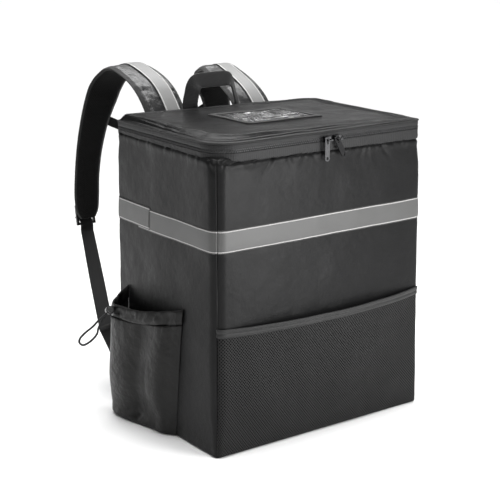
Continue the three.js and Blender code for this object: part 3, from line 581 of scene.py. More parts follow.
# Folds under the zip seam that stand out, each as five numbers: where it starts, measured round the plan
# from the left end of the front (negative runs back along the left side), how wide it is, how far down
# it reaches, how far it drifts sideways on the way, and how high it stands
FOLDS = [
    (-30, 7, 14, 9, -2.0), (-12, 6, 7, 3, 1.6), (-3, 4, 8, -2, -1.8), (10, 10, 9, -6, -1.6),
    (40, 22, 9, 4, 2.0), (84, 10, 17, -12, -2.6), (112, 9, 13, 6, -2.0), (136, 8, 12, -4, 1.6),
    (160, 8, 10, 5, -1.5), (232, 12, 10, -4, 1.6), (262, 8, 12, -3, -1.9), (276, 6, 18, 3, 1.8),
    (300, 10, 17, 12, -3.2), (322, 10, 10, 8, -1.8), (350, 14, 9, 0, 2.0)]


def body_surface():
    """The wall's outer surface below the seam, as a grid whose rows run up."""
    heights = [*np.linspace(4, 20, 6), *np.linspace(24, TOP_START, 80),
               *np.linspace(TOP_START + 3, TOP_END, 26)]
    rows = np.array([wall_ring(z) for z in heights])
    # The top rows end at the seam, whose height varies
    z = rows[..., 2]
    rows[..., 2] = mix(z, z + (LIP - TOP_END), np.clip((z - TOP_START) / (TOP_END - TOP_START), 0, 1))
    z = rows[..., 2]
    below = LIP - z
    around = np.broadcast_to(AROUND, below.shape)
    push_out = 1.5 * noise(rows, 95, 5, 2) + 0.5 * noise(rows, 34, 6, 2)
    # Panels roll off towards the corner seams
    push_out -= np.where(NEAREST == 3, 1.8, 0.4) * np.exp(-np.abs(FROM_SEAM) / 9)
    # Small puckers hang from the gathered seam, broader ones reach further
    small = noise(np.stack([around, z * 0.35], -1), 9, 11, 2)
    broad = noise(np.stack([around, z * 0.3], -1), 27, 12, 1)
    push_out += 1.5 * small * np.exp(-below / 7) + 2.2 * broad * np.exp(-below / 17)
    total = AROUND[-1] + 1.0
    for at, width, down, drift, height in FOLDS:
        gap = (around - at - drift * below / down + total / 2) % total - total / 2
        push_out += height * bump_at(gap, 0, width / 2) * np.exp(-(below / down) ** 2)
    # At the right and rear corners the top draws in under the lid
    drawn = np.where(NEAREST < 3, np.exp(-(FROM_SEAM / 60) ** 2), 0)
    push_out -= 2.6 * drawn * smooth(1 - below / 45)
    # A soft roll just under the seam, then the seam's crease
    push_out += 1.2 * bump_at(below, 5, 5) - 1.9 * np.exp(-below / 1.2)
    # Corner seams: a narrow ridge beside a narrow groove
    seam = FROM_SEAM * np.where(NEAREST == 0, -1, 1) + 0.35 * noise(np.stack([z, z * 0], -1), 40, 21)
    ridge = 0.75 * bump_at(seam, -1.3, 0.75) - 1.3 * bump_at(seam, 0.35, 0.55)
    push_out += ridge * smooth(below / 6)
    # The bottom edge is sewn to the base panel
    push_out += 0.5 * bump_at(z, 12.5, 2.5) - bump_at(z, 9, 1.6)
    # The band's stitching pulls the wall in a little
    for edge in (BAND_LOW + 1.5, BAND_LOW + BAND_HEIGHT - 1.5):
        push_out -= 0.5 * bump_at(z, edge, 5)
    return push(rows, push_out, closed=True)


BODY = body_surface()
BODY_FACE = normals(BODY, True)


def on_body(columns_used, z, offset):
    """Points on the body's finished surface at a height, for the given columns."""
    points = []
    for column in columns_used:
        line = BODY[:, column]
        at = np.interp(z, line[:, 2], np.arange(len(line)))
        low = int(min(at, len(line) - 2))
        t = at - low
        face = mix(BODY_FACE[low, column], BODY_FACE[low + 1, column], t)
        points.append(mix(line[low], line[low + 1], t) + face * offset)
    return np.array(points)


def body_shell():
    foot = [wall_ring(z, offset) for z, offset in
            ((0.0, -70), (0.0, -25), (0.0, -6), (0.4, -2.6), (1.8, -0.7))]
    # The seam's cloth turns in over the zip tape, bunched at the corners
    cornered = np.where(WHICH % 2 == 1, np.sin(np.pi * SHARE), 0)
    cornered = np.where(WHICH % 2 == 0, np.exp(-(1 - np.abs(SHARE)) * 20) * 0.2, cornered)
    top = []
    last = BODY[-1]
    for t, rise in ((0.12, 1.2), (0.35, 2.2), (0.7, 3.2), (1.0, 3.6), (1.08, 1.5)):
        ring = mix(last, zip_ring(0, -2.2), min(t, 1.05))
        crumple = noise(np.stack([AROUND, np.full(COLUMN_COUNT, 20 * t)], -1), 7, 31, 2)
        bunched = crumple * 1.5 * np.sin(np.pi * min(t, 1)) * (0.3 + cornered)
        ring[:, 2] = last[:, 2] + rise * (0.6 + 1.3 * cornered) + bunched
        top.append(ring)
    inside = [wall_ring(z, -WALL, 1.0 if z > 450 else 0.0, radius=8) for z in (456, 440, 300, 150, 30, 10, 8)]
    inside.append(wall_ring(8, -70))
    rows = np.concatenate([foot, BODY, top, inside])
    lined = len(foot) + len(BODY) + len(top) - 1
    slots = np.zeros((len(rows) - 1, 1))
    slots[lined:] = 1
    piece = grid("body_cloth", rows, [SHELL, LINING], closed=True, ends=("low", "high"), slots=slots)
    place(piece, "shell_cloth", "body_shell")


# ---------------------------------------------------------------- zip
def ring_strip(ring, first, last):
    """The columns from first to last, past the end of the plan where needed."""
    return ring[..., np.arange(first, last + 1) % COLUMN_COUNT, :]


LEFT_START = int(np.where(WHICH == 6)[0][0])
RIGHT_END = int(np.where(WHICH == 2)[0][-1])
BACK_START, BACK_END = (int(np.where(WHICH == 4)[0][k]) for k in (0, -1))
# The zip runs from the back's left end round to its right end
OPEN_FROM, OPEN_TO = BACK_END + 1, COLUMN_COUNT + BACK_START
TAPE_THICK, TAPE_TOP = 1.1, 484.4


def zip_tapes():
    def tape(name, rows, first, last, material, slot, node):
        piece = grid(name, ring_strip(np.array(rows), first, last), material)
        thicken(piece, TAPE_THICK)
        place(piece, slot, node)

    lower = []
    for t in np.linspace(0, 1, 9):
        ring = zip_ring(0, -0.4)
        ring[:, 2] = mix(LIP + 1.0, CHAIN_LOW + 0.3, t)
        ruck = noise(np.stack([AROUND, 12 * np.full(COLUMN_COUNT, t)], -1), 5, 41, 2)
        lower.append(ring + unit(ring * [1, 1, 0]) * (ruck * 0.7 * (1 - t) ** 0.7)[:, None])
    upper = [zip_ring(z, -0.4) for z in (CHAIN_HIGH - 0.3, 479.5, 482, TAPE_TOP)]
    tape("zip_tape_low", lower, OPEN_FROM, OPEN_TO, TAPE, "zip_tape", "zip_tape_lower")
    tape("zip_tape_high", upper, OPEN_FROM, OPEN_TO, TAPE, "zip_tape", "zip_tape_upper")
    hinge = []
    for z in (452, 458, 463, 468, 474, 480, TAPE_TOP):
        ring = zip_ring(z, -0.9)
        ring[:, 1] += 1.4 * bump_at(z, 472, 8) * np.sign(ring[:, 1])
        hinge.append(ring)
    tape("lid_hinge_cloth", hinge, BACK_START - 8, BACK_END + 8, SHELL_SOFT, "shell_cloth", "lid_hinge")


def zip_coil():
    """Interlocked coil: small rounded bars, alternately from above and below, over a narrow core."""
    core = np.array([zip_ring(z, -1.7) for z in (CHAIN_LOW, 472.5, 474, 475.5, CHAIN_HIGH)])
    core[1:4] += unit(core[1:4] * [1, 1, 0]) * 0.3
    core = ring_strip(core, OPEN_FROM, OPEN_TO)
    path = core[2]
    length = reach(path)
    pitch = 1.9
    count = int(length[-1] / pitch)
    verts, faces = [core.reshape(-1, 3)], grid_faces(*core.shape[:2], False).tolist()
    at = (np.arange(count) + 0.5) * pitch
    middle, ahead = (np.stack([np.interp(each, length, path[:, k]) for k in range(3)], -1)
                     for each in (at, at + 0.4))
    along = unit(ahead - middle)
    out = unit(np.cross(along, [0, 0, 1]))
    base = len(verts[0])
    # Each bar: across and rise round it, and height, swell and lean along it
    ring = [(-0.5, 0.0), (-0.36, 0.75), (0.0, 1.0), (0.36, 0.75), (0.5, 0.0)]
    tips = [(-2.6, 0.35, -0.35), (-1.9, 1.0, -0.25), (0.2, 1.0, 0.1), (0.9, 0.35, 0.2)]
    for k in range(count):
        turn = 1 if k % 2 else -1
        points = []
        for height, swell, lean in tips:
            for across, rise in ring:
                points.append(middle[k] + along[k] * (across * 1.5 * swell + lean)
                              + out[k] * (rise * 1.1 * swell + 0.1) + np.array([0, 0, -turn * height]))
        start = base + k * len(points)
        verts.append(np.array(points))
        for i in range(len(tips) - 1):
            for j in range(len(ring) - 1):
                a = start + i * len(ring) + j
                quad = [a, a + 1, a + 1 + len(ring), a + len(ring)]
                faces.append(quad if turn > 0 else quad[::-1])
    place(make("zip_coil_teeth", np.vstack(verts), faces, None, COIL), "zip_coil", "zip_chain")


# ---------------------------------------------------------------- lid
LID_EDGE, LID_TILT = LID_BASE + 2.4, 7.8


# The ridge that the padding's edge makes in the lid: its distance in from the rim on each stretch
RIDGE = {0: (23, 9), 1: (9, 7), 2: (7, 7), 3: (7, 7), 4: (7, 8), 5: (8, 12), 6: (12, 26), 7: (26, 23)}


def lid_surface(x, y, inset, ridge):
    """Height of the lid's finished top. Inset is the distance in from the rim."""
    p = np.stack([x, y], -1)
    # The padding stands higher on its left
    top = LID_EDGE + LID_TILT * ((BODY_WIDTH / 2 - x) / BODY_WIDTH) ** 0.9
    z = mix(LID_EDGE, top, smooth(inset / ridge) ** 0.85)
    crest = 2.4 * bump_at(inset, ridge, 4.2) - 1.2 * bump_at(inset, ridge + 13, 9)
    crest = crest * np.maximum(ridge / 24, 0.55)
    waves = 0.8 * noise(p, 70, 51, 2) + 0.3 * noise(p, 24, 52, 2)
    pull = 0.7 * noise(np.stack([x * 0.5, y], -1), 18, 53, 1) * bump_at(inset, ridge - 4, 14)
    # Rows of stitching near the rim, where the padding has an outer slope
    rows = 0.5 * bump_at(inset, 3, 1.3) - 0.5 * bump_at(inset, 5.6, 1.2) + 0.4 * bump_at(inset, 8.6, 1.5)
    rows = rows - 0.4 * bump_at(inset, 11.4, 1.2)
    return z + crest + waves * smooth(inset / 10) + pull * smooth(inset / 6) + rows * smooth((ridge - 12) / 6)


def lid_ring(inset, z=0.0):
    return plan(z, BODY_WIDTH / 2 - inset, BODY_DEPTH / 2 - inset, np.maximum(ZIP_RADII - inset * 0.6, 5))


def lid_grid():
    ridge = along_plan(RIDGE) + 2.0 * line_noise(AROUND, 60, 55)
    tucked = np.where(NEAREST == 3, 0, bump_at(FROM_SEAM, 0, 16))
    insets = np.concatenate([np.linspace(0, 14, 18), np.linspace(16, 46, 16), np.linspace(50, 128, 16)])
    rows = []
    for inset in insets:
        ring = lid_ring(inset)
        ring[:, 2] = lid_surface(ring[:, 0], ring[:, 1], inset, ridge) - 1.6 * tucked * math.exp(-inset / 6)
        rows.append(ring)
    return np.array(rows)


def lid_shell():
    rows = lid_grid()
    side = []
    for z_share, out in ((0.0, -3.0), (0.0, -0.8), (0.15, 0.0), (0.5, 0.3), (0.85, 0.1)):
        ring = zip_ring(0, out)
        ring[:, 2] = mix(LID_BASE + 0.6, rows[0, :, 2] - 0.2, z_share)
        ring[:, 2] += 0.35 * line_noise(AROUND, 12, 57) * z_share
        side.append(ring)
    under = [lid_ring(inset, LID_BASE - 1.5) for inset in (120, 60, 20, 6)]
    rows = np.concatenate([under, side, rows])
    uv = rows[..., :2].copy()
    first = len(under)
    for k in range(first, first + len(side)):
        uv[k] = np.stack([AROUND, np.full(COLUMN_COUNT, float(k))], -1)
    slots = np.zeros((len(rows) - 1, 1))
    slots[:first] = 1
    piece = grid("lid_cloth", rows, [LID_CLOTH, LINING], closed=True, ends=("low", "high"), uv=uv,
                 slots=slots)
    place(piece, "shell_cloth", "lid_panel")
    path = zip_ring(LID_BASE + 0.9, -0.3)
    path[:, 2] += 0.3 * line_noise(AROUND, 30, 58)
    place(tube("lid_piping_cloth", path, 1.25, BINDING, sides=10, closed=True), "shell_cloth", "lid_piping")


def lid_height_at(x, y):
    """The finished lid near its middle, where the window lies."""
    inset = np.minimum(BODY_WIDTH / 2 - np.abs(x), BODY_DEPTH / 2 - np.abs(y))
    return lid_surface(x, y, inset, 20.0)


def window():
    half_x, half_y = WINDOW_WIDTH / 2, WINDOW_DEPTH / 2
    # Film: crinkled sheet
    x = np.linspace(-half_x + 3, half_x - 3, 90)
    y = np.linspace(-half_y + 3, half_y - 3, 68) + WINDOW_BACK
    x, y = np.meshgrid(x, y)
    p = np.stack([x, y], -1)
    inside = smooth(np.minimum(half_x - 8 - np.abs(x), half_y - 8 - np.abs(y - WINDOW_BACK)) / 12)
    ridged = 1 - np.abs(noise(p * [0.7, 1.2], 19, 61, 2))
    z = lid_height_at(x, y) + 0.8 + inside * (2.4 * ridged ** 2 + 0.7 * noise(p * [0.5, 1], 11, 62, 2) - 1.0)
    piece = grid("window_sheet", np.stack([x, y, z], -1), FILM)
    thicken(piece, 0.4)
    place(piece, "window_film", "lid_window_film")
    # Frame: a folded strip of cloth round it, stitched along both of its edges
    corner = 3
    loop = []
    for sx, sy, start in ((1, -1, -0.5), (1, 1, 0), (-1, 1, 0.5), (-1, -1, 1)):
        for t in np.linspace(0, 1, 7):
            angle = (start + t / 2) * np.pi
            loop.append((sx * (half_x - corner), sy * (half_y - corner), np.cos(angle), np.sin(angle)))
    loop = np.array(loop)
    fine = []
    for k in range(len(loop)):
        a, b = loop[k], loop[(k + 1) % len(loop)]
        long = np.linalg.norm((a[:2] + corner * a[2:]) - (b[:2] + corner * b[2:]))
        count = max(int(long / 3), 1)
        fine += [mix(a, b, t) for t in np.linspace(0, 1, count, endpoint=False)]
    fine = np.array(fine)
    profile = ((0.0, 0.2), (0.2, 1.6), (1.4, 2.2), (2.4, 1.7), (5.0, 1.9), (7.6, 1.7), (8.6, 2.1), (9.6, 1.6),
               (10, 0.9))
    rows = []
    for inset, lift in profile:
        px = fine[:, 0] + fine[:, 2] * (corner - inset)
        py = fine[:, 1] + fine[:, 3] * (corner - inset) + WINDOW_BACK
        wave = 0.5 * noise(np.stack([px, py], -1), 12, 63, 2)
        rows.append(np.stack([px, py, lid_height_at(px, py) + lift + wave * min(inset, 1)], -1))
    place(grid("window_border", rows, BINDING, closed=True), "shell_cloth", "lid_window_frame")


# ---------------------------------------------------------------- band
def bands():
    joint, turn = LEFT_START + int(round(SIDE_STEPS * 3 / 8)), CORNER_STEPS // 2
    for name, node, first, last, low, lift in (
            ("band_long", "reflective_band", joint - 14, COLUMN_COUNT + RIGHT_END + turn, BAND_LOW, 0.5),
            ("band_short", "reflective_band_end", BACK_END + turn, joint, BAND_LOW + BAND_STEP, 1.3)):
        used = np.arange(first, last + 1) % COLUMN_COUNT
        rows = []
        for t in np.linspace(0, 1, 13):
            z = low + BAND_HEIGHT * t
            edge = -0.35 * (bump_at(t, 0, 0.04) + bump_at(t, 1, 0.04)) + 0.25 * np.sin(np.pi * t)
            rows.append(on_body(used, z, lift + edge))
        rows = np.array(rows)
        rows[..., 2] += 0.35 * line_noise(AROUND[used], 60, 71)[None, :]
        piece = grid(name, rows, BAND)
        thicken(piece, 0.9)
        place(piece, "reflective", node)


# ---------------------------------------------------------------- mesh pocket
MESH_SHAPE = [(0, 0), (0.3, 0.1), (0.55, 0.28), (0.75, 0.52), (0.9, 0.82), (1, 1)]


def mesh_pocket():
    turn = CORNER_STEPS // 2
    used = np.arange(-turn, FRONT_STEPS + 1 + turn) % COLUMN_COUNT
    span = np.clip(np.where(WHICH[used] == 0, SHARE[used], np.sign(BODY[50, used, 0])), -1, 1)
    bulge = np.maximum(1 - span ** 2, 0)
    heights = np.concatenate([np.linspace(0, 0.9, 46), np.linspace(0.902, 1, 9)])

    def row(share, offset):
        z = mix(MESH_FOOT, MESH_TOP, share)
        gape = MESH_GAPE * np.interp(share, *zip(*MESH_SHAPE))
        points = on_body(used, z, offset)
        p = points[:, [0, 2]]
        ripple = 1.6 * noise(p * [1, 0.45], 42, 81, 2) * bulge * smooth(share / 0.2)
        ripple = ripple * (1 - 0.6 * smooth((share - 0.8) / 0.2))
        points[:, 1] -= gape * bulge + ripple + 0.4
        points[:, 2] -= MESH_SAG * bulge * share
        return points

    hem_at = 1 - MESH_HEM * 0.66 / (MESH_TOP - MESH_FOOT)
    panel = np.array([row(s, 1.3) for s in heights if s <= hem_at + 0.01])
    piece = grid("mesh_panel", panel, NET)
    place(piece, "mesh", "mesh_pocket")
    profile = ((0.0, 0.7), (0.04, 1.7), (0.3, 1.9), (0.34, 1.5), (0.62, 1.5), (0.66, 2.0), (0.95, 2.1),
               (1.0, 1.4), (1.0, -0.3))
    hem_piece = grid("mesh_hem_binding", [row(mix(hem_at, 1, t), 1.1 + lift) for t, lift in profile], HEM)
    place(hem_piece, "shell_cloth", "mesh_pocket_hem")


# ---------------------------------------------------------------- side pocket
POCKET_PLAN = np.array([
    # along, foot, belly, rim, top
    (0, 0, 0, 0, 1), (0.07, 0.18, 0.28, 0.17, 0.985), (0.18, 0.34, 0.58, 0.34, 0.965),
    (0.32, 0.44, 0.78, 0.5, 0.945), (0.46, 0.56, 0.82, 0.63, 0.925), (0.6, 0.7, 0.94, 0.74, 0.915),
    (0.74, 0.78, 1, 0.8, 0.908), (0.87, 0.78, 0.98, 0.82, 0.9), (0.96, 0.7, 0.88, 0.77, 0.89),
    (1.01, 0.4, 0.56, 0.46, 0.93), (1, 0, 0, 0, 1)])
# Share of the pocket's height at which its belly is fullest, and its number of columns
BELLY, POCKET_COLUMNS = 0.42, 110


def left_wall(y, z):
    reach = BODY_DEPTH / 2 + flare(z) - 8
    share = np.minimum(np.abs(y) / reach, 1)
    swell = PANEL_BOW * np.sin(np.pi * np.clip(z / BODY_HEIGHT, 0, 1))
    return BODY_WIDTH / 2 + flare(z) + swell * (1 - share ** 2)


def pocket_row(table, height, depth=1.0, lift=0.0):
    front = mix(-32, -58, height)
    rear = mix(122, 108, height)
    y = mix(front, rear, table[:, 0])
    z = 0.6 + lift + height * table[:, 4] * (POCKET_HEIGHT - 0.6)
    if height < BELLY:
        belly = mix(table[:, 1], table[:, 2], smooth(height / BELLY))
    else:
        belly = mix(table[:, 2], table[:, 3], smooth((height - BELLY) / (1 - BELLY)))
    x = -left_wall(y, z) - 0.8 - POCKET_DEPTH * belly * depth
    return np.stack([x, y, z], -1)


def side_pocket():
    # Columns run from the back to the front, so that their normals look outwards
    table = spline(POCKET_PLAN, POCKET_COLUMNS)[::-1]
    u = np.linspace(1, 0, POCKET_COLUMNS)
    start = 1 - POCKET_HEM / POCKET_HEIGHT
    heights = np.concatenate([[0.0, 0.0, 0.006, 0.02], np.linspace(0.045, start, 50)])
    depths = np.concatenate([[0.05, 0.6, 0.93, 0.985], np.ones(50)])
    rows = np.array([pocket_row(table, h, d, 0.8 * (d < 0.5)) for h, d in zip(heights, depths)])
    z = rows[..., 2]
    loose = np.sin(np.pi * np.clip(u, 0, 1)) ** 0.5
    gather = np.exp(-(start - heights) * POCKET_HEIGHT / 22)[:, None]
    fine = np.broadcast_to(noise(np.stack([u * 190, u * 0], -1), 6.5, 91, 2), z.shape)
    # Folds: long soft ones in the panel, small ones under the gathered hem
    swell = 4.2 * noise(np.stack([np.broadcast_to(u * 180, z.shape), z * 0.35], -1), 38, 92, 2)
    up = heights[:, None]
    valley = -10.0 * bump_at(u, 0.36 + 0.05 * (1 - up), 0.075) * smooth(up / 0.1) * (1 - 0.5 * gather)
    ridge = 4.5 * bump_at(u, 0.2 + 0.02 * up, 0.06)
    crease = 2.2 * noise(np.stack([rows[..., 1] + 0.8 * z, z * 0.15], -1), 13, 93, 2)
    crease = crease * bump_at(up, 0.08, 0.12)
    out = (swell + ridge + crease) * loose + valley + 2.6 * fine * gather * loose
    rows = push(rows, out * smooth(up / 0.03))
    rows[..., 0] = np.minimum(rows[..., 0], -left_wall(rows[..., 1], rows[..., 2]) - 0.7)
    rows[..., 2] = np.maximum(rows[..., 2], 1.4)
    piece = grid("pocket_bag", rows, [SHELL_SOFT, LINING])
    thicken(piece, 1.2, material_offset=1)
    place(piece, "shell_cloth", "side_pocket")
    # Hem: a puffed, gathered casing
    ts, lifts = np.array([
        (0.0, 0.0), (0.03, 1.6), (0.15, 2.6), (0.32, 3.0), (0.5, 2.6), (0.68, 3.0), (0.86, 2.8), (0.97, 1.8),
        (1.0, 0.2), (0.96, -1.6), (0.8, -2.0), (0.4, -2.2), (0.1, -1.6)]).T
    hem_rows = np.array([pocket_row(table, mix(start, 1, t)) for t in ts])
    face = normals(np.array([pocket_row(table, start), pocket_row(table, 1)]), False)
    ruffle = noise(np.stack(np.broadcast_arrays(u * 190, ts[:, None] * 9), -1), 6.0, 94, 2)
    deep = line_noise(u * 190, 13, 95, 1)[None, :]
    middle = np.sin(np.pi * np.clip(ts, 0.05, 0.95))[:, None]
    puff = lifts[:, None] + (ruffle * 4.6 + deep * 3.4) * middle * loose
    hem_rows = hem_rows + face[0][None] * puff[..., None]
    hem_rows[..., 2] += (1.8 * line_noise(u * 190, 10, 96))[None, :] * ts[:, None] * loose
    hem_rows[..., 0] = np.minimum(hem_rows[..., 0], -left_wall(hem_rows[..., 1], hem_rows[..., 2]) - 0.5)
    hem = grid("pocket_hem", hem_rows, SHELL_SOFT)
    place(hem, "shell_cloth", "side_pocket_hem")


# ---------------------------------------------------------------- cord lock and drawcord
LOCK_PLACE = np.array([-254.0, 87, 189])
LOCK_AXIS = unit(np.array([-0.35, -0.865, 0.357]))
LOCK_THROUGH = np.array([-0.784, 0.063, -0.617])
LOCK_THROUGH = unit(LOCK_THROUGH - LOCK_AXIS * LOCK_THROUGH.dot(LOCK_AXIS))
STRAND_SHIFT, STRAND_START, CORD_RADIUS = 2.2, 9.4, 1.75
CORD_LOOP = [(-271, 92, 174), (-280, 96, 164), (-291, 102, 154), (-299, 105, 145), (-301, 104, 139),
             (-297, 100, 135), (-290, 96, 138), (-281, 93, 145), (-275, 91, 153), (-272, 92, 161)]


def through_lock(distance, turn):
    return LOCK_PLACE + LOCK_THROUGH * distance + LOCK_AXIS * STRAND_SHIFT * turn


def lathe(name, profile, material, sides=48, flutes=0, depth=0.0):
    """A turned piece on the lock's axis. Its profile is of height, radius and share of the flutes' depth."""
    angle = np.linspace(0, 2 * np.pi, sides, endpoint=False)
    other = np.cross(LOCK_AXIS, LOCK_THROUGH)
    rows = []
    for height, radius, fluted in profile:
        r = radius - depth * fluted * (np.cos(angle * flutes) * 0.5 + 0.5) ** 2
        rows.append(LOCK_PLACE + LOCK_AXIS * height + r[:, None] * (
            np.cos(angle)[:, None] * LOCK_THROUGH + np.sin(angle)[:, None] * other))
    return grid(name, np.array(rows), material, closed=True, ends=("low", "high"))


def cord_lock():
    barrel = lathe("lock_barrel", [
        (-8, 4.6, 0), (-8, 5.6, 0), (-7.4, 6.3, 0), (-6.4, 6.5, 0), (-5.8, 6.5, 0), (-5.2, 6.5, 1),
        (-3.4, 6.5, 1), (3.4, 6.5, 1), (8.4, 6.5, 1), (9.2, 6.5, 0), (9.9, 6.1, 0), (10.6, 6.1, 0),
        (11.2, 6.5, 0), (13.2, 6.5, 0), (13.8, 6.2, 0), (14, 5.6, 0), (13.9, 5.15, 0), (12.5, 5.1, 0),
        (3.8, 5.1, 0)], PLASTIC, flutes=14, depth=0.8)
    place(barrel, "plastic", "cord_lock_barrel")
    plunger = lathe("lock_button", [
        (8.2, 4.6, 0), (8.2, 4.8, 0), (18.6, 4.8, 0), (19.4, 4.7, 0), (19.85, 4.3, 0), (20, 3.7, 0),
        (19.9, 2.9, 0), (19.7, 2.4, 0), (19.6, 1.2, 0)], BUTTON)
    place(plunger, "plastic", "cord_lock_plunger", body="plunger")
    route = [through_lock(-STRAND_START, 1), through_lock(0, 1), through_lock(8, 1), *CORD_LOOP,
             through_lock(8, -1), through_lock(0, -1), through_lock(-STRAND_START, -1)]
    path = spline(route, 120)
    cord = tube("drawcord_braid", path, CORD_RADIUS, CORD, sides=14)
    place(cord, "cord", "drawcord")


# ---------------------------------------------------------------- straps
SIDES = (("left", -1), ("right", 1))
STRAP_SPACING, STRAP_SPLAY, STRAP_REACH = 88, 60, 198
STRAP_ROOT, STRAP_TOP, STRAP_TIP, STRAP_WIDTH, STRAP_THICK = 415, 547, 276, 78, 11
STRAP_SHAPE = np.array([
    # out, back, up, width
    (0, 0, 0.513, 1), (0, 0.012, 0.6, 1), (0, 0.045, 0.69, 1), (0, 0.123, 0.768, 1), (0, 0.194, 0.83, 1),
    (0, 0.285, 0.889, 1), (0.017, 0.416, 0.945, 0.99), (0.05, 0.575, 0.985, 0.98), (0.09, 0.68, 1, 0.96),
    (0.15, 0.78, 0.98, 0.93), (0.27, 0.865, 0.925, 0.88), (0.4, 0.912, 0.86, 0.85), (0.56, 0.935, 0.765, 0.81),
    (0.73, 0.96, 0.631, 0.73), (0.87, 0.985, 0.458, 0.67), (0.95, 1, 0.28, 0.64), (0.99, 0.995, 0.14, 0.64),
    (1, 0.988, 0.05, 0.57), (1, 0.983, 0, 0.38)])

# How much lower the right strap arches
RIGHT_DROOP = 15
STRIPE_SHIFT = 11.5


def back_wall(x, z):
    reach = BODY_WIDTH / 2 + flare(z) - 8
    share = min(abs(x) / reach, 1)
    return BODY_DEPTH / 2 + flare(z) + bow(z) * (1 - share ** 2)


STRAP_ROOT_Y = back_wall(STRAP_SPACING / 2, STRAP_ROOT) + GAP + STRAP_THICK / 2


def strap_line(side, steps):
    """Places, and widths, along a strap's middle."""
    out, back, up, width = STRAP_SHAPE.T
    first = STRAP_SHAPE[0, 2]
    z = np.where(up <= first, mix(STRAP_TIP, STRAP_ROOT, up / first),
                 mix(STRAP_ROOT, STRAP_TOP, (up - first) / (1 - first)))
    points = np.stack([side * (STRAP_SPACING + STRAP_SPLAY * out), STRAP_ROOT_Y + STRAP_REACH * back, z,
                       width * STRAP_WIDTH], -1)
    if side > 0:
        points[:, 2] -= RIGHT_DROOP * smooth((points[:, 2] - 470) / 75)
    line = spline(points, steps)
    return line[:, :3], line[:, 3]


def strap_frames(places, across=(1, 0, 0)):
    """Directions across a strap and out of its face, at each place."""
    tangent = unit(np.gradient(places, axis=0))
    across = np.broadcast_to(np.array(across, float), places.shape)
    across = unit(across - tangent * (across * tangent).sum(-1, keepdims=True))
    return across, np.cross(tangent, across)


def pad_lift(x):
    """Height of a pad's section, as a share of its thickness, at x from -1 to 1 across it."""
    return 0.5 * np.clip(1 - np.abs(x) ** 5, 0, 1) ** 0.5


def strap_pads():
    for name, side in SIDES:
        steps = 190
        places, widths = strap_line(side, steps)
        across, face = strap_frames(places)
        # The face that looks away from the wearer is the one towards the outside of the arch
        outward = -face
        # Section: x from -1 to 1 across, then back along the wearer's side
        outer = np.concatenate([[-1.0, -0.985], np.linspace(-0.95, 0.95, 41), [0.985, 1.0]])
        inner = np.linspace(0.95, -0.95, 25)
        xs = np.concatenate([outer, inner])
        lifts = np.concatenate([pad_lift(outer), -pad_lift(inner)])
        half = widths[:, None] / 2
        along = reach(places)[:, None]
        x_mm = xs[None, :] * half
        edge = half - np.abs(x_mm)
        on_outer = (np.arange(len(xs)) < len(outer))[None, :]
        # Bound edges: a roll along the rim, a stitch line inside it
        shape = lifts[None, :] * STRAP_THICK * mix(0.62, 1.0, smooth((edge - 1) / 11))
        stitch = -0.9 * bump_at(edge, 9.5, 1.1) + 0.45 * bump_at(edge, 7.0, 2.2)
        uv = where = np.stack([x_mm + 0 * along, along + 0 * x_mm], -1)
        pull = noise(where * [0.35, 1], 11, 101 + side, 2) * (bump_at(edge, 13, 7) + 0.25)
        broad = noise(where * [0.5, 1], 34, 103 + side, 2)
        crumple = on_outer * (1.5 * pull + 1.1 * broad + stitch) + ~on_outer * (-0.4 * stitch - 0.5 * broad)
        total = shape + crumple * smooth(edge / 5)
        ends = smooth(np.minimum(along, along[-1] - along) / 4 + 0.55)
        rows = (places[:, None] + across[:, None] * x_mm[..., None]
                + outward[:, None] * (total * ends)[..., None])
        slots = np.where(np.abs(xs) > 0.8, 2, np.where(on_outer, 0, 1))
        piece = grid(f"strap_padding_{name}", rows, [STRAP_CLOTH, AIR_MESH, BINDING], closed=True,
                     ends=("low", "high"), uv=uv, slots=slots)
        place(piece, "strap_padding", f"strap_pad_{name}")
        # Reflective stripe on the outer face
        first, last = int(steps * 2 / 36), int(steps * 31 / 36)
        section = []
        for c in np.linspace(-0.5, 0.5, 9):
            x = STRIPE_SHIFT * widths / STRAP_WIDTH + c * STRIPE_WIDTH
            where = np.stack([x, along[:, 0]], -1)
            lift = (pad_lift(x / (widths / 2)) * STRAP_THICK
                    + 0.7 * noise(where * [0.35, 1], 34, 103 + side, 2) + 1.3 - 0.5 * abs(2 * c) ** 4)
            section.append(places + across * x[:, None] + outward * lift[:, None])
        section = np.array(section)[:, first:last + 1]
        stripe = grid(f"strap_tape_{name}", section, STRIPE)
        thicken(stripe, 0.9)
        place(stripe, "reflective", f"strap_stripe_{name}")


def ribbon(name, places, across, width, thickness, material, node):
    """A flat webbing along places, with its edges slightly rounded."""
    across, face = strap_frames(places, across)
    xs = np.array([-0.5, -0.485, -0.44, -0.25, 0, 0.25, 0.44, 0.485, 0.5])
    hs = np.array([0.0, 0.36, 0.5, 0.5, 0.5, 0.5, 0.5, 0.36, 0.0])
    x = np.concatenate([xs, xs[-2:0:-1]])
    h = np.concatenate([hs, -hs[-2:0:-1]])
    rows = places[:, None] + across[:, None] * (x * width)[:, None] + face[:, None] * (h * thickness)[:, None]
    uv = np.stack(np.broadcast_arrays(x * width, reach(places)[:, None]), -1)
    place(grid(name, rows, material, closed=True, ends=("low", "high"), uv=uv), "webbing", node)


LADDER_HEIGHT, LADDER_THICK, LADDER_BAR = 36, 4, 4.5
LADDER_LEAN = math.radians(9)
LADDER_LEVEL = STRAP_TIP + 5
LOOP_TOP = LADDER_LEVEL + LADDER_HEIGHT / 2 + 16
WEB_WIDTH, WEB_THICK = 25, 1.6


def strap_at(height):
    """Y and x of the right strap's hanging half at a height."""
    x, y, z = strap_line(1, 400)[0][200:].T
    return np.interp(-height, -z, y), np.interp(-height, -z, x)


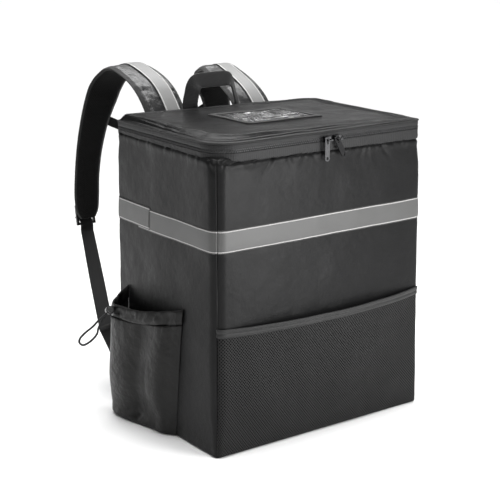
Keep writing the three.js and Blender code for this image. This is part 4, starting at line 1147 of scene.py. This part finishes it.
STRAP_BACK = strap_at(LOOP_TOP)[0] + STRAP_THICK / 2 + GAP
LADDER_Y = (STRAP_BACK + WEB_THICK + GAP + LADDER_THICK / 2
            - math.sin(LADDER_LEAN) * (LADDER_HEIGHT / 2 - LADDER_BAR))


def wing_end(side):
    return np.array([side * (BODY_WIDTH / 2 - GAP * 4), BODY_DEPTH / 2 + 58, 124.0])


def web_turned(side):
    return np.array([0.8, side * 0.5, -side * 0.3])


def lower_webbing():
    for name, side in SIDES:
        x = side * (STRAP_SPACING + STRAP_SPLAY)
        # Loop that holds the ladder lock
        z = np.linspace(LOOP_TOP, LADDER_LEVEL + LADDER_HEIGHT / 2 - LADDER_BAR, 14)
        y = STRAP_BACK + WEB_THICK / 2 + 0.5 * np.sin(np.linspace(0, np.pi, 14))
        places = np.stack([np.full(14, x), y, z], -1)
        ribbon(f"ladder_loop_web_{name}", places, (1, 0, 0), WEB_WIDTH, WEB_THICK, WEB, f"ladder_loop_{name}")
        # Webbing to the wing
        start = np.array([x, LADDER_Y - math.sin(LADDER_LEAN) * LADDER_HEIGHT / 2,
                          LADDER_LEVEL - math.cos(LADDER_LEAN) * LADDER_HEIGHT / 2 - GAP - WEB_THICK * 1.6])
        end = wing_end(side)
        t = np.linspace(0, 1, 48)
        bulge = 6 * 4 * t * (1 - t)
        line = mix(start, end, t[:, None] * 1.05) + np.stack([-side * bulge / 2, bulge, 0 * t], -1)
        ripple = 0.8 * line_noise(t * 200, 30, 111 + side)
        line[:, 1:] += (ripple * np.sin(np.pi * t))[:, None]
        across = mix(np.array([1.0, 0, 0]), web_turned(side), smooth(t)[:, None])
        # Its head: over the lock's middle bar, out through the lower slot and down past the lower bar
        up = np.array([0, math.sin(LADDER_LEAN), math.cos(LADDER_LEAN)])
        ahead = np.array([0, -math.cos(LADDER_LEAN), math.sin(LADDER_LEAN)])
        lock = np.array([x, LADDER_Y, LADDER_LEVEL])
        head = [lock + up * rise + ahead * out for rise, out in
                ((5.5, 1.5), (3.6, -1.2), (0, -3.1), (-5, -2.6), (-10.5, 0.4), (-15, 3.1), (-19.5, 3.0))]
        line = np.vstack([spline(head, 26), line[2:]])
        across = np.vstack([np.tile([1.0, 0, 0], (26, 1)), across[2:]])
        ribbon(f"strap_web_{name}", line, across, WEB_WIDTH, WEB_THICK, WEB, f"lower_webbing_{name}")
        # Wing: doubled triangle of cloth from the corner seam
        turned = unit(web_turned(side))
        outer_low = end + turned * side * (WEB_WIDTH / 2 + 1)
        outer_high = end - turned * side * (WEB_WIDTH / 2 + 1)
        seam_x = BODY_WIDTH / 2 - 4
        seam_low, seam_high = (np.array([side * seam_x, back_wall(seam_x, h) + 0.6, h]) for h in (35, 105))
        shares = np.linspace(0, 1, 16)[:, None]
        rows = np.array([mix(mix(seam_low, outer_low, t), mix(seam_high, outer_high, t), shares)
                         for t in shares[:, 0]])
        rows = push(rows, 0.9 * noise(rows, 24, 115, 2) * smooth(shares / 0.2))
        piece = grid(f"wing_cloth_{name}", rows, SHELL_SOFT)
        thicken(piece, 2.6, offset=0)
        place(piece, "shell_cloth", f"strap_wing_{name}")


def chest_strap():
    height, width, sag = 450, 16, 26
    y = strap_at(height - width / 2)[0] + STRAP_THICK / 2 + 1 + 3 * GAP + WEB_THICK / 2
    pad_x = strap_at(height)[1]
    outer, inner, reach = pad_x + STRAP_WIDTH / 6, pad_x - STRAP_WIDTH / 3, 17.3
    for name, side in SIDES:
        t = np.linspace(0, 1, 40)
        x = np.concatenate([np.linspace(outer, inner, 12)[:-1], mix(inner, reach, t)])
        drop = sag * np.sin(np.minimum(t / 0.9, 1) * np.pi / 2)
        z = np.concatenate([np.full(11, float(height)), height - drop])
        places = np.stack([side * x, np.full(len(x), y), z], -1)
        ribbon(f"chest_web_{name}", places, (0, 0, 1), width, WEB_THICK, WEB, f"chest_webbing_{name}")
    # Side-release buckle: a socket and a fork with two prongs, as blocks of x, z and half depth
    level = height - sag
    parts = ((-17, -1, -9.5, 9.5, 4.5), (-1, 4, -12.5, -6.5, 3.8), (-1, 4, 6.5, 12.5, 3.8), (1, 8, -4, 4, 3.0),
             (4, 17, -9.5, 9.5, 4.2), (9, 15, -11, 11, 2.6))
    verts, faces = [], []
    for x0, x1, z0, z1, depth in parts:
        base = len(verts)
        verts += [(x, y + d * depth, level + z) for d in (-1, 1) for z in (z0, z1) for x in (x0, x1)]
        faces += [[base + k for k in f] for f in
                  ((0, 1, 3, 2), (4, 6, 7, 5), (0, 4, 5, 1), (2, 3, 7, 6), (0, 2, 6, 4), (1, 5, 7, 3))]
    piece = make("chest_buckle_shell", verts, faces, None, PLASTIC)
    modifier(piece, "BEVEL", width=1.1 * MM, segments=3, limit_method="ANGLE")
    place(piece, "plastic", "chest_buckle")


HANDLE_SHAPE = [
    # side, up, lean, across
    (0.88, 0, 0, (1, 0, 0)), (0.95, 0.22, 0.1, (1, -0.05, 0)), (1.12, 0.45, 0.55, (0.9, -0.35, 0)),
    (1.25, 0.62, 0.9, (0.72, -0.69, 0)), (1.14, 0.8, 1, (0.6, -0.7, -0.2)), (1.02, 0.93, 1, (0.45, -0.6, -0.6)),
    (0.8, 1, 1, (0.1, -0.36, -0.9)), (0.3, 1.01, 1, (0, -0.32, -0.95))]


def haul_handle():
    span, width, thick, root, top, lean = 76, 26, 3, 425, 532, 16
    y = back_wall(0, root) + GAP + thick / 2

    def station(row, side):
        s, up, back, across = row
        return [side * s * span / 2, y + lean * back, mix(root, top, up), -side * across[0], *across[1:]]

    table = [station(row, -1) for row in HANDLE_SHAPE] + [station(row, 1) for row in HANDLE_SHAPE[::-1]]
    line = spline(np.array(table) * [1, 1, 1, 30, 30, 30], 120)
    ribbon("handle_web", line[:, :3], line[:, 3:], width, thick, WEB_HANDLE, "haul_handle")


# ---------------------------------------------------------------- plastic and metal from the CAD
def paint(node, material, bevel, segments=2):
    """Gives a CAD node its material and softer edges."""
    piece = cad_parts[node]
    for each in piece.material_slots:
        each.link = "OBJECT"
        each.material = material
    modifier(piece, "BEVEL", width=bevel * MM, segments=segments, limit_method="ANGLE",
             angle_limit=math.radians(35))


def hardware():
    # The right pull takes the darker metal copy as painted shade
    for side, pull_metal in (("left", METAL), ("right", METAL_PAINTED_SHADE)):
        paint(f"ladder_lock_{side}", PLASTIC, 0.8, segments=3)
        paint(f"zip_slider_{side}", METAL, 0.5)
        paint(f"zip_pull_{side}", pull_metal, 0.35)


# ---------------------------------------------------------------- stage
FLOOR = 4e4
CAMERA_PLACE, CAMERA_YAW, CAMERA_PITCH, CAMERA_LENS = (-1.2509, -1.6807, 0.8383), 35.8295, 15.2189, 94.7
# Soft boxes: name, strength, place, aim, width and height, in metres
BOXES = (
    ("left_box", 0.75, (-0.8, 0.9, 0.38), (-0.2, 0.0, 0.25), 0.5, 0.7),
    ("front_box", 4.7, (0.16, -0.7, 0.4), (-0.2, -0.14, 0.32), 0.25, 0.6),
    ("back_box", 0.5, (0.9, 1.5, 1.0), (0, 0, 0.48), 1.2, 0.3),
    ("top_box", 15.0, (0.32, 0.85, 1.55), (-0.05, -0.05, 0.48), 1.2, 0.5),
    ("crest_box", 3.5, (1.05, 0.6, 1.45), (0.1, -0.1, 0.48), 0.5, 0.4))


def stage():
    n = Nodes("floor_paper")
    n.surface(Base_Color=(0.93, 0.93, 0.93, 1))
    n.surface(Roughness=0.9)
    n.surface(Specular_IOR_Level=0.1)
    floor = make("floor", [(x * FLOOR, y * FLOOR, 0) for x, y in ((-1, -1), (1, -1), (1, 1), (-1, 1))],
                 [(0, 1, 2, 3)], None, n.material)
    world = bpy.data.worlds.new("studio")
    bpy.context.scene.world = world
    world.use_nodes = True
    tree = world.node_tree
    # Dim overhead, pale in a strip along the horizon
    parts = tree.nodes.new("ShaderNodeSeparateXYZ")
    tree.links.new(tree.nodes.new("ShaderNodeTexCoord").outputs["Generated"], parts.inputs[0])
    strip = tree.nodes.new("ShaderNodeMapRange")
    for socket, value in (("From Min", 0.1), ("From Max", 0.17), ("To Min", 1.0), ("To Max", 0.085)):
        strip.inputs[socket].default_value = value
    tree.links.new(parts.outputs[2], strip.inputs["Value"])
    tree.links.new(strip.outputs[0], tree.nodes["Background"].inputs[1])
    tree.nodes["Background"].inputs[0].default_value = (1, 1, 1, 1)

    def light(name, kind, energy, at, to, **values):
        data = bpy.data.lights.new(name, kind)
        data.energy = energy
        for key, value in values.items():
            setattr(data, key, value)
        lamp = bpy.data.objects.new(name, data)
        lamp.location = at
        lamp.rotation_euler = (Vector(to) - Vector(at)).to_track_quat("-Z", "Y").to_euler()
        bpy.context.scene.collection.objects.link(lamp)

    light("overhead", "SUN", 3.2, (0, 0, 3), (0.02, 0.02, 0), angle=math.radians(40))
    for name, strength, at, to, wide, tall in BOXES:
        light(name, "AREA", strength, at, to, shape="RECTANGLE", size=wide, size_y=tall)

    data = bpy.data.cameras.new("camera")
    data.lens, data.sensor_width = CAMERA_LENS, 36
    camera = bpy.data.objects.new("camera", data)
    yaw, pitch = math.radians(CAMERA_YAW), math.radians(CAMERA_PITCH)
    camera.location = CAMERA_PLACE
    direction = Vector((math.sin(yaw) * math.cos(pitch), math.cos(yaw) * math.cos(pitch), -math.sin(pitch)))
    camera.rotation_euler = direction.to_track_quat("-Z", "Y").to_euler()
    bpy.context.scene.collection.objects.link(camera)
    bpy.context.scene.camera = camera
    bpy.context.scene.view_settings.view_transform = "Standard"


for build in (stage, cord_lock, body_shell, zip_tapes, zip_coil, lid_shell, window, bands, mesh_pocket,
              side_pocket, strap_pads, lower_webbing, chest_strap, haul_handle, hardware):
    build()

bpy.context.view_layer.update()
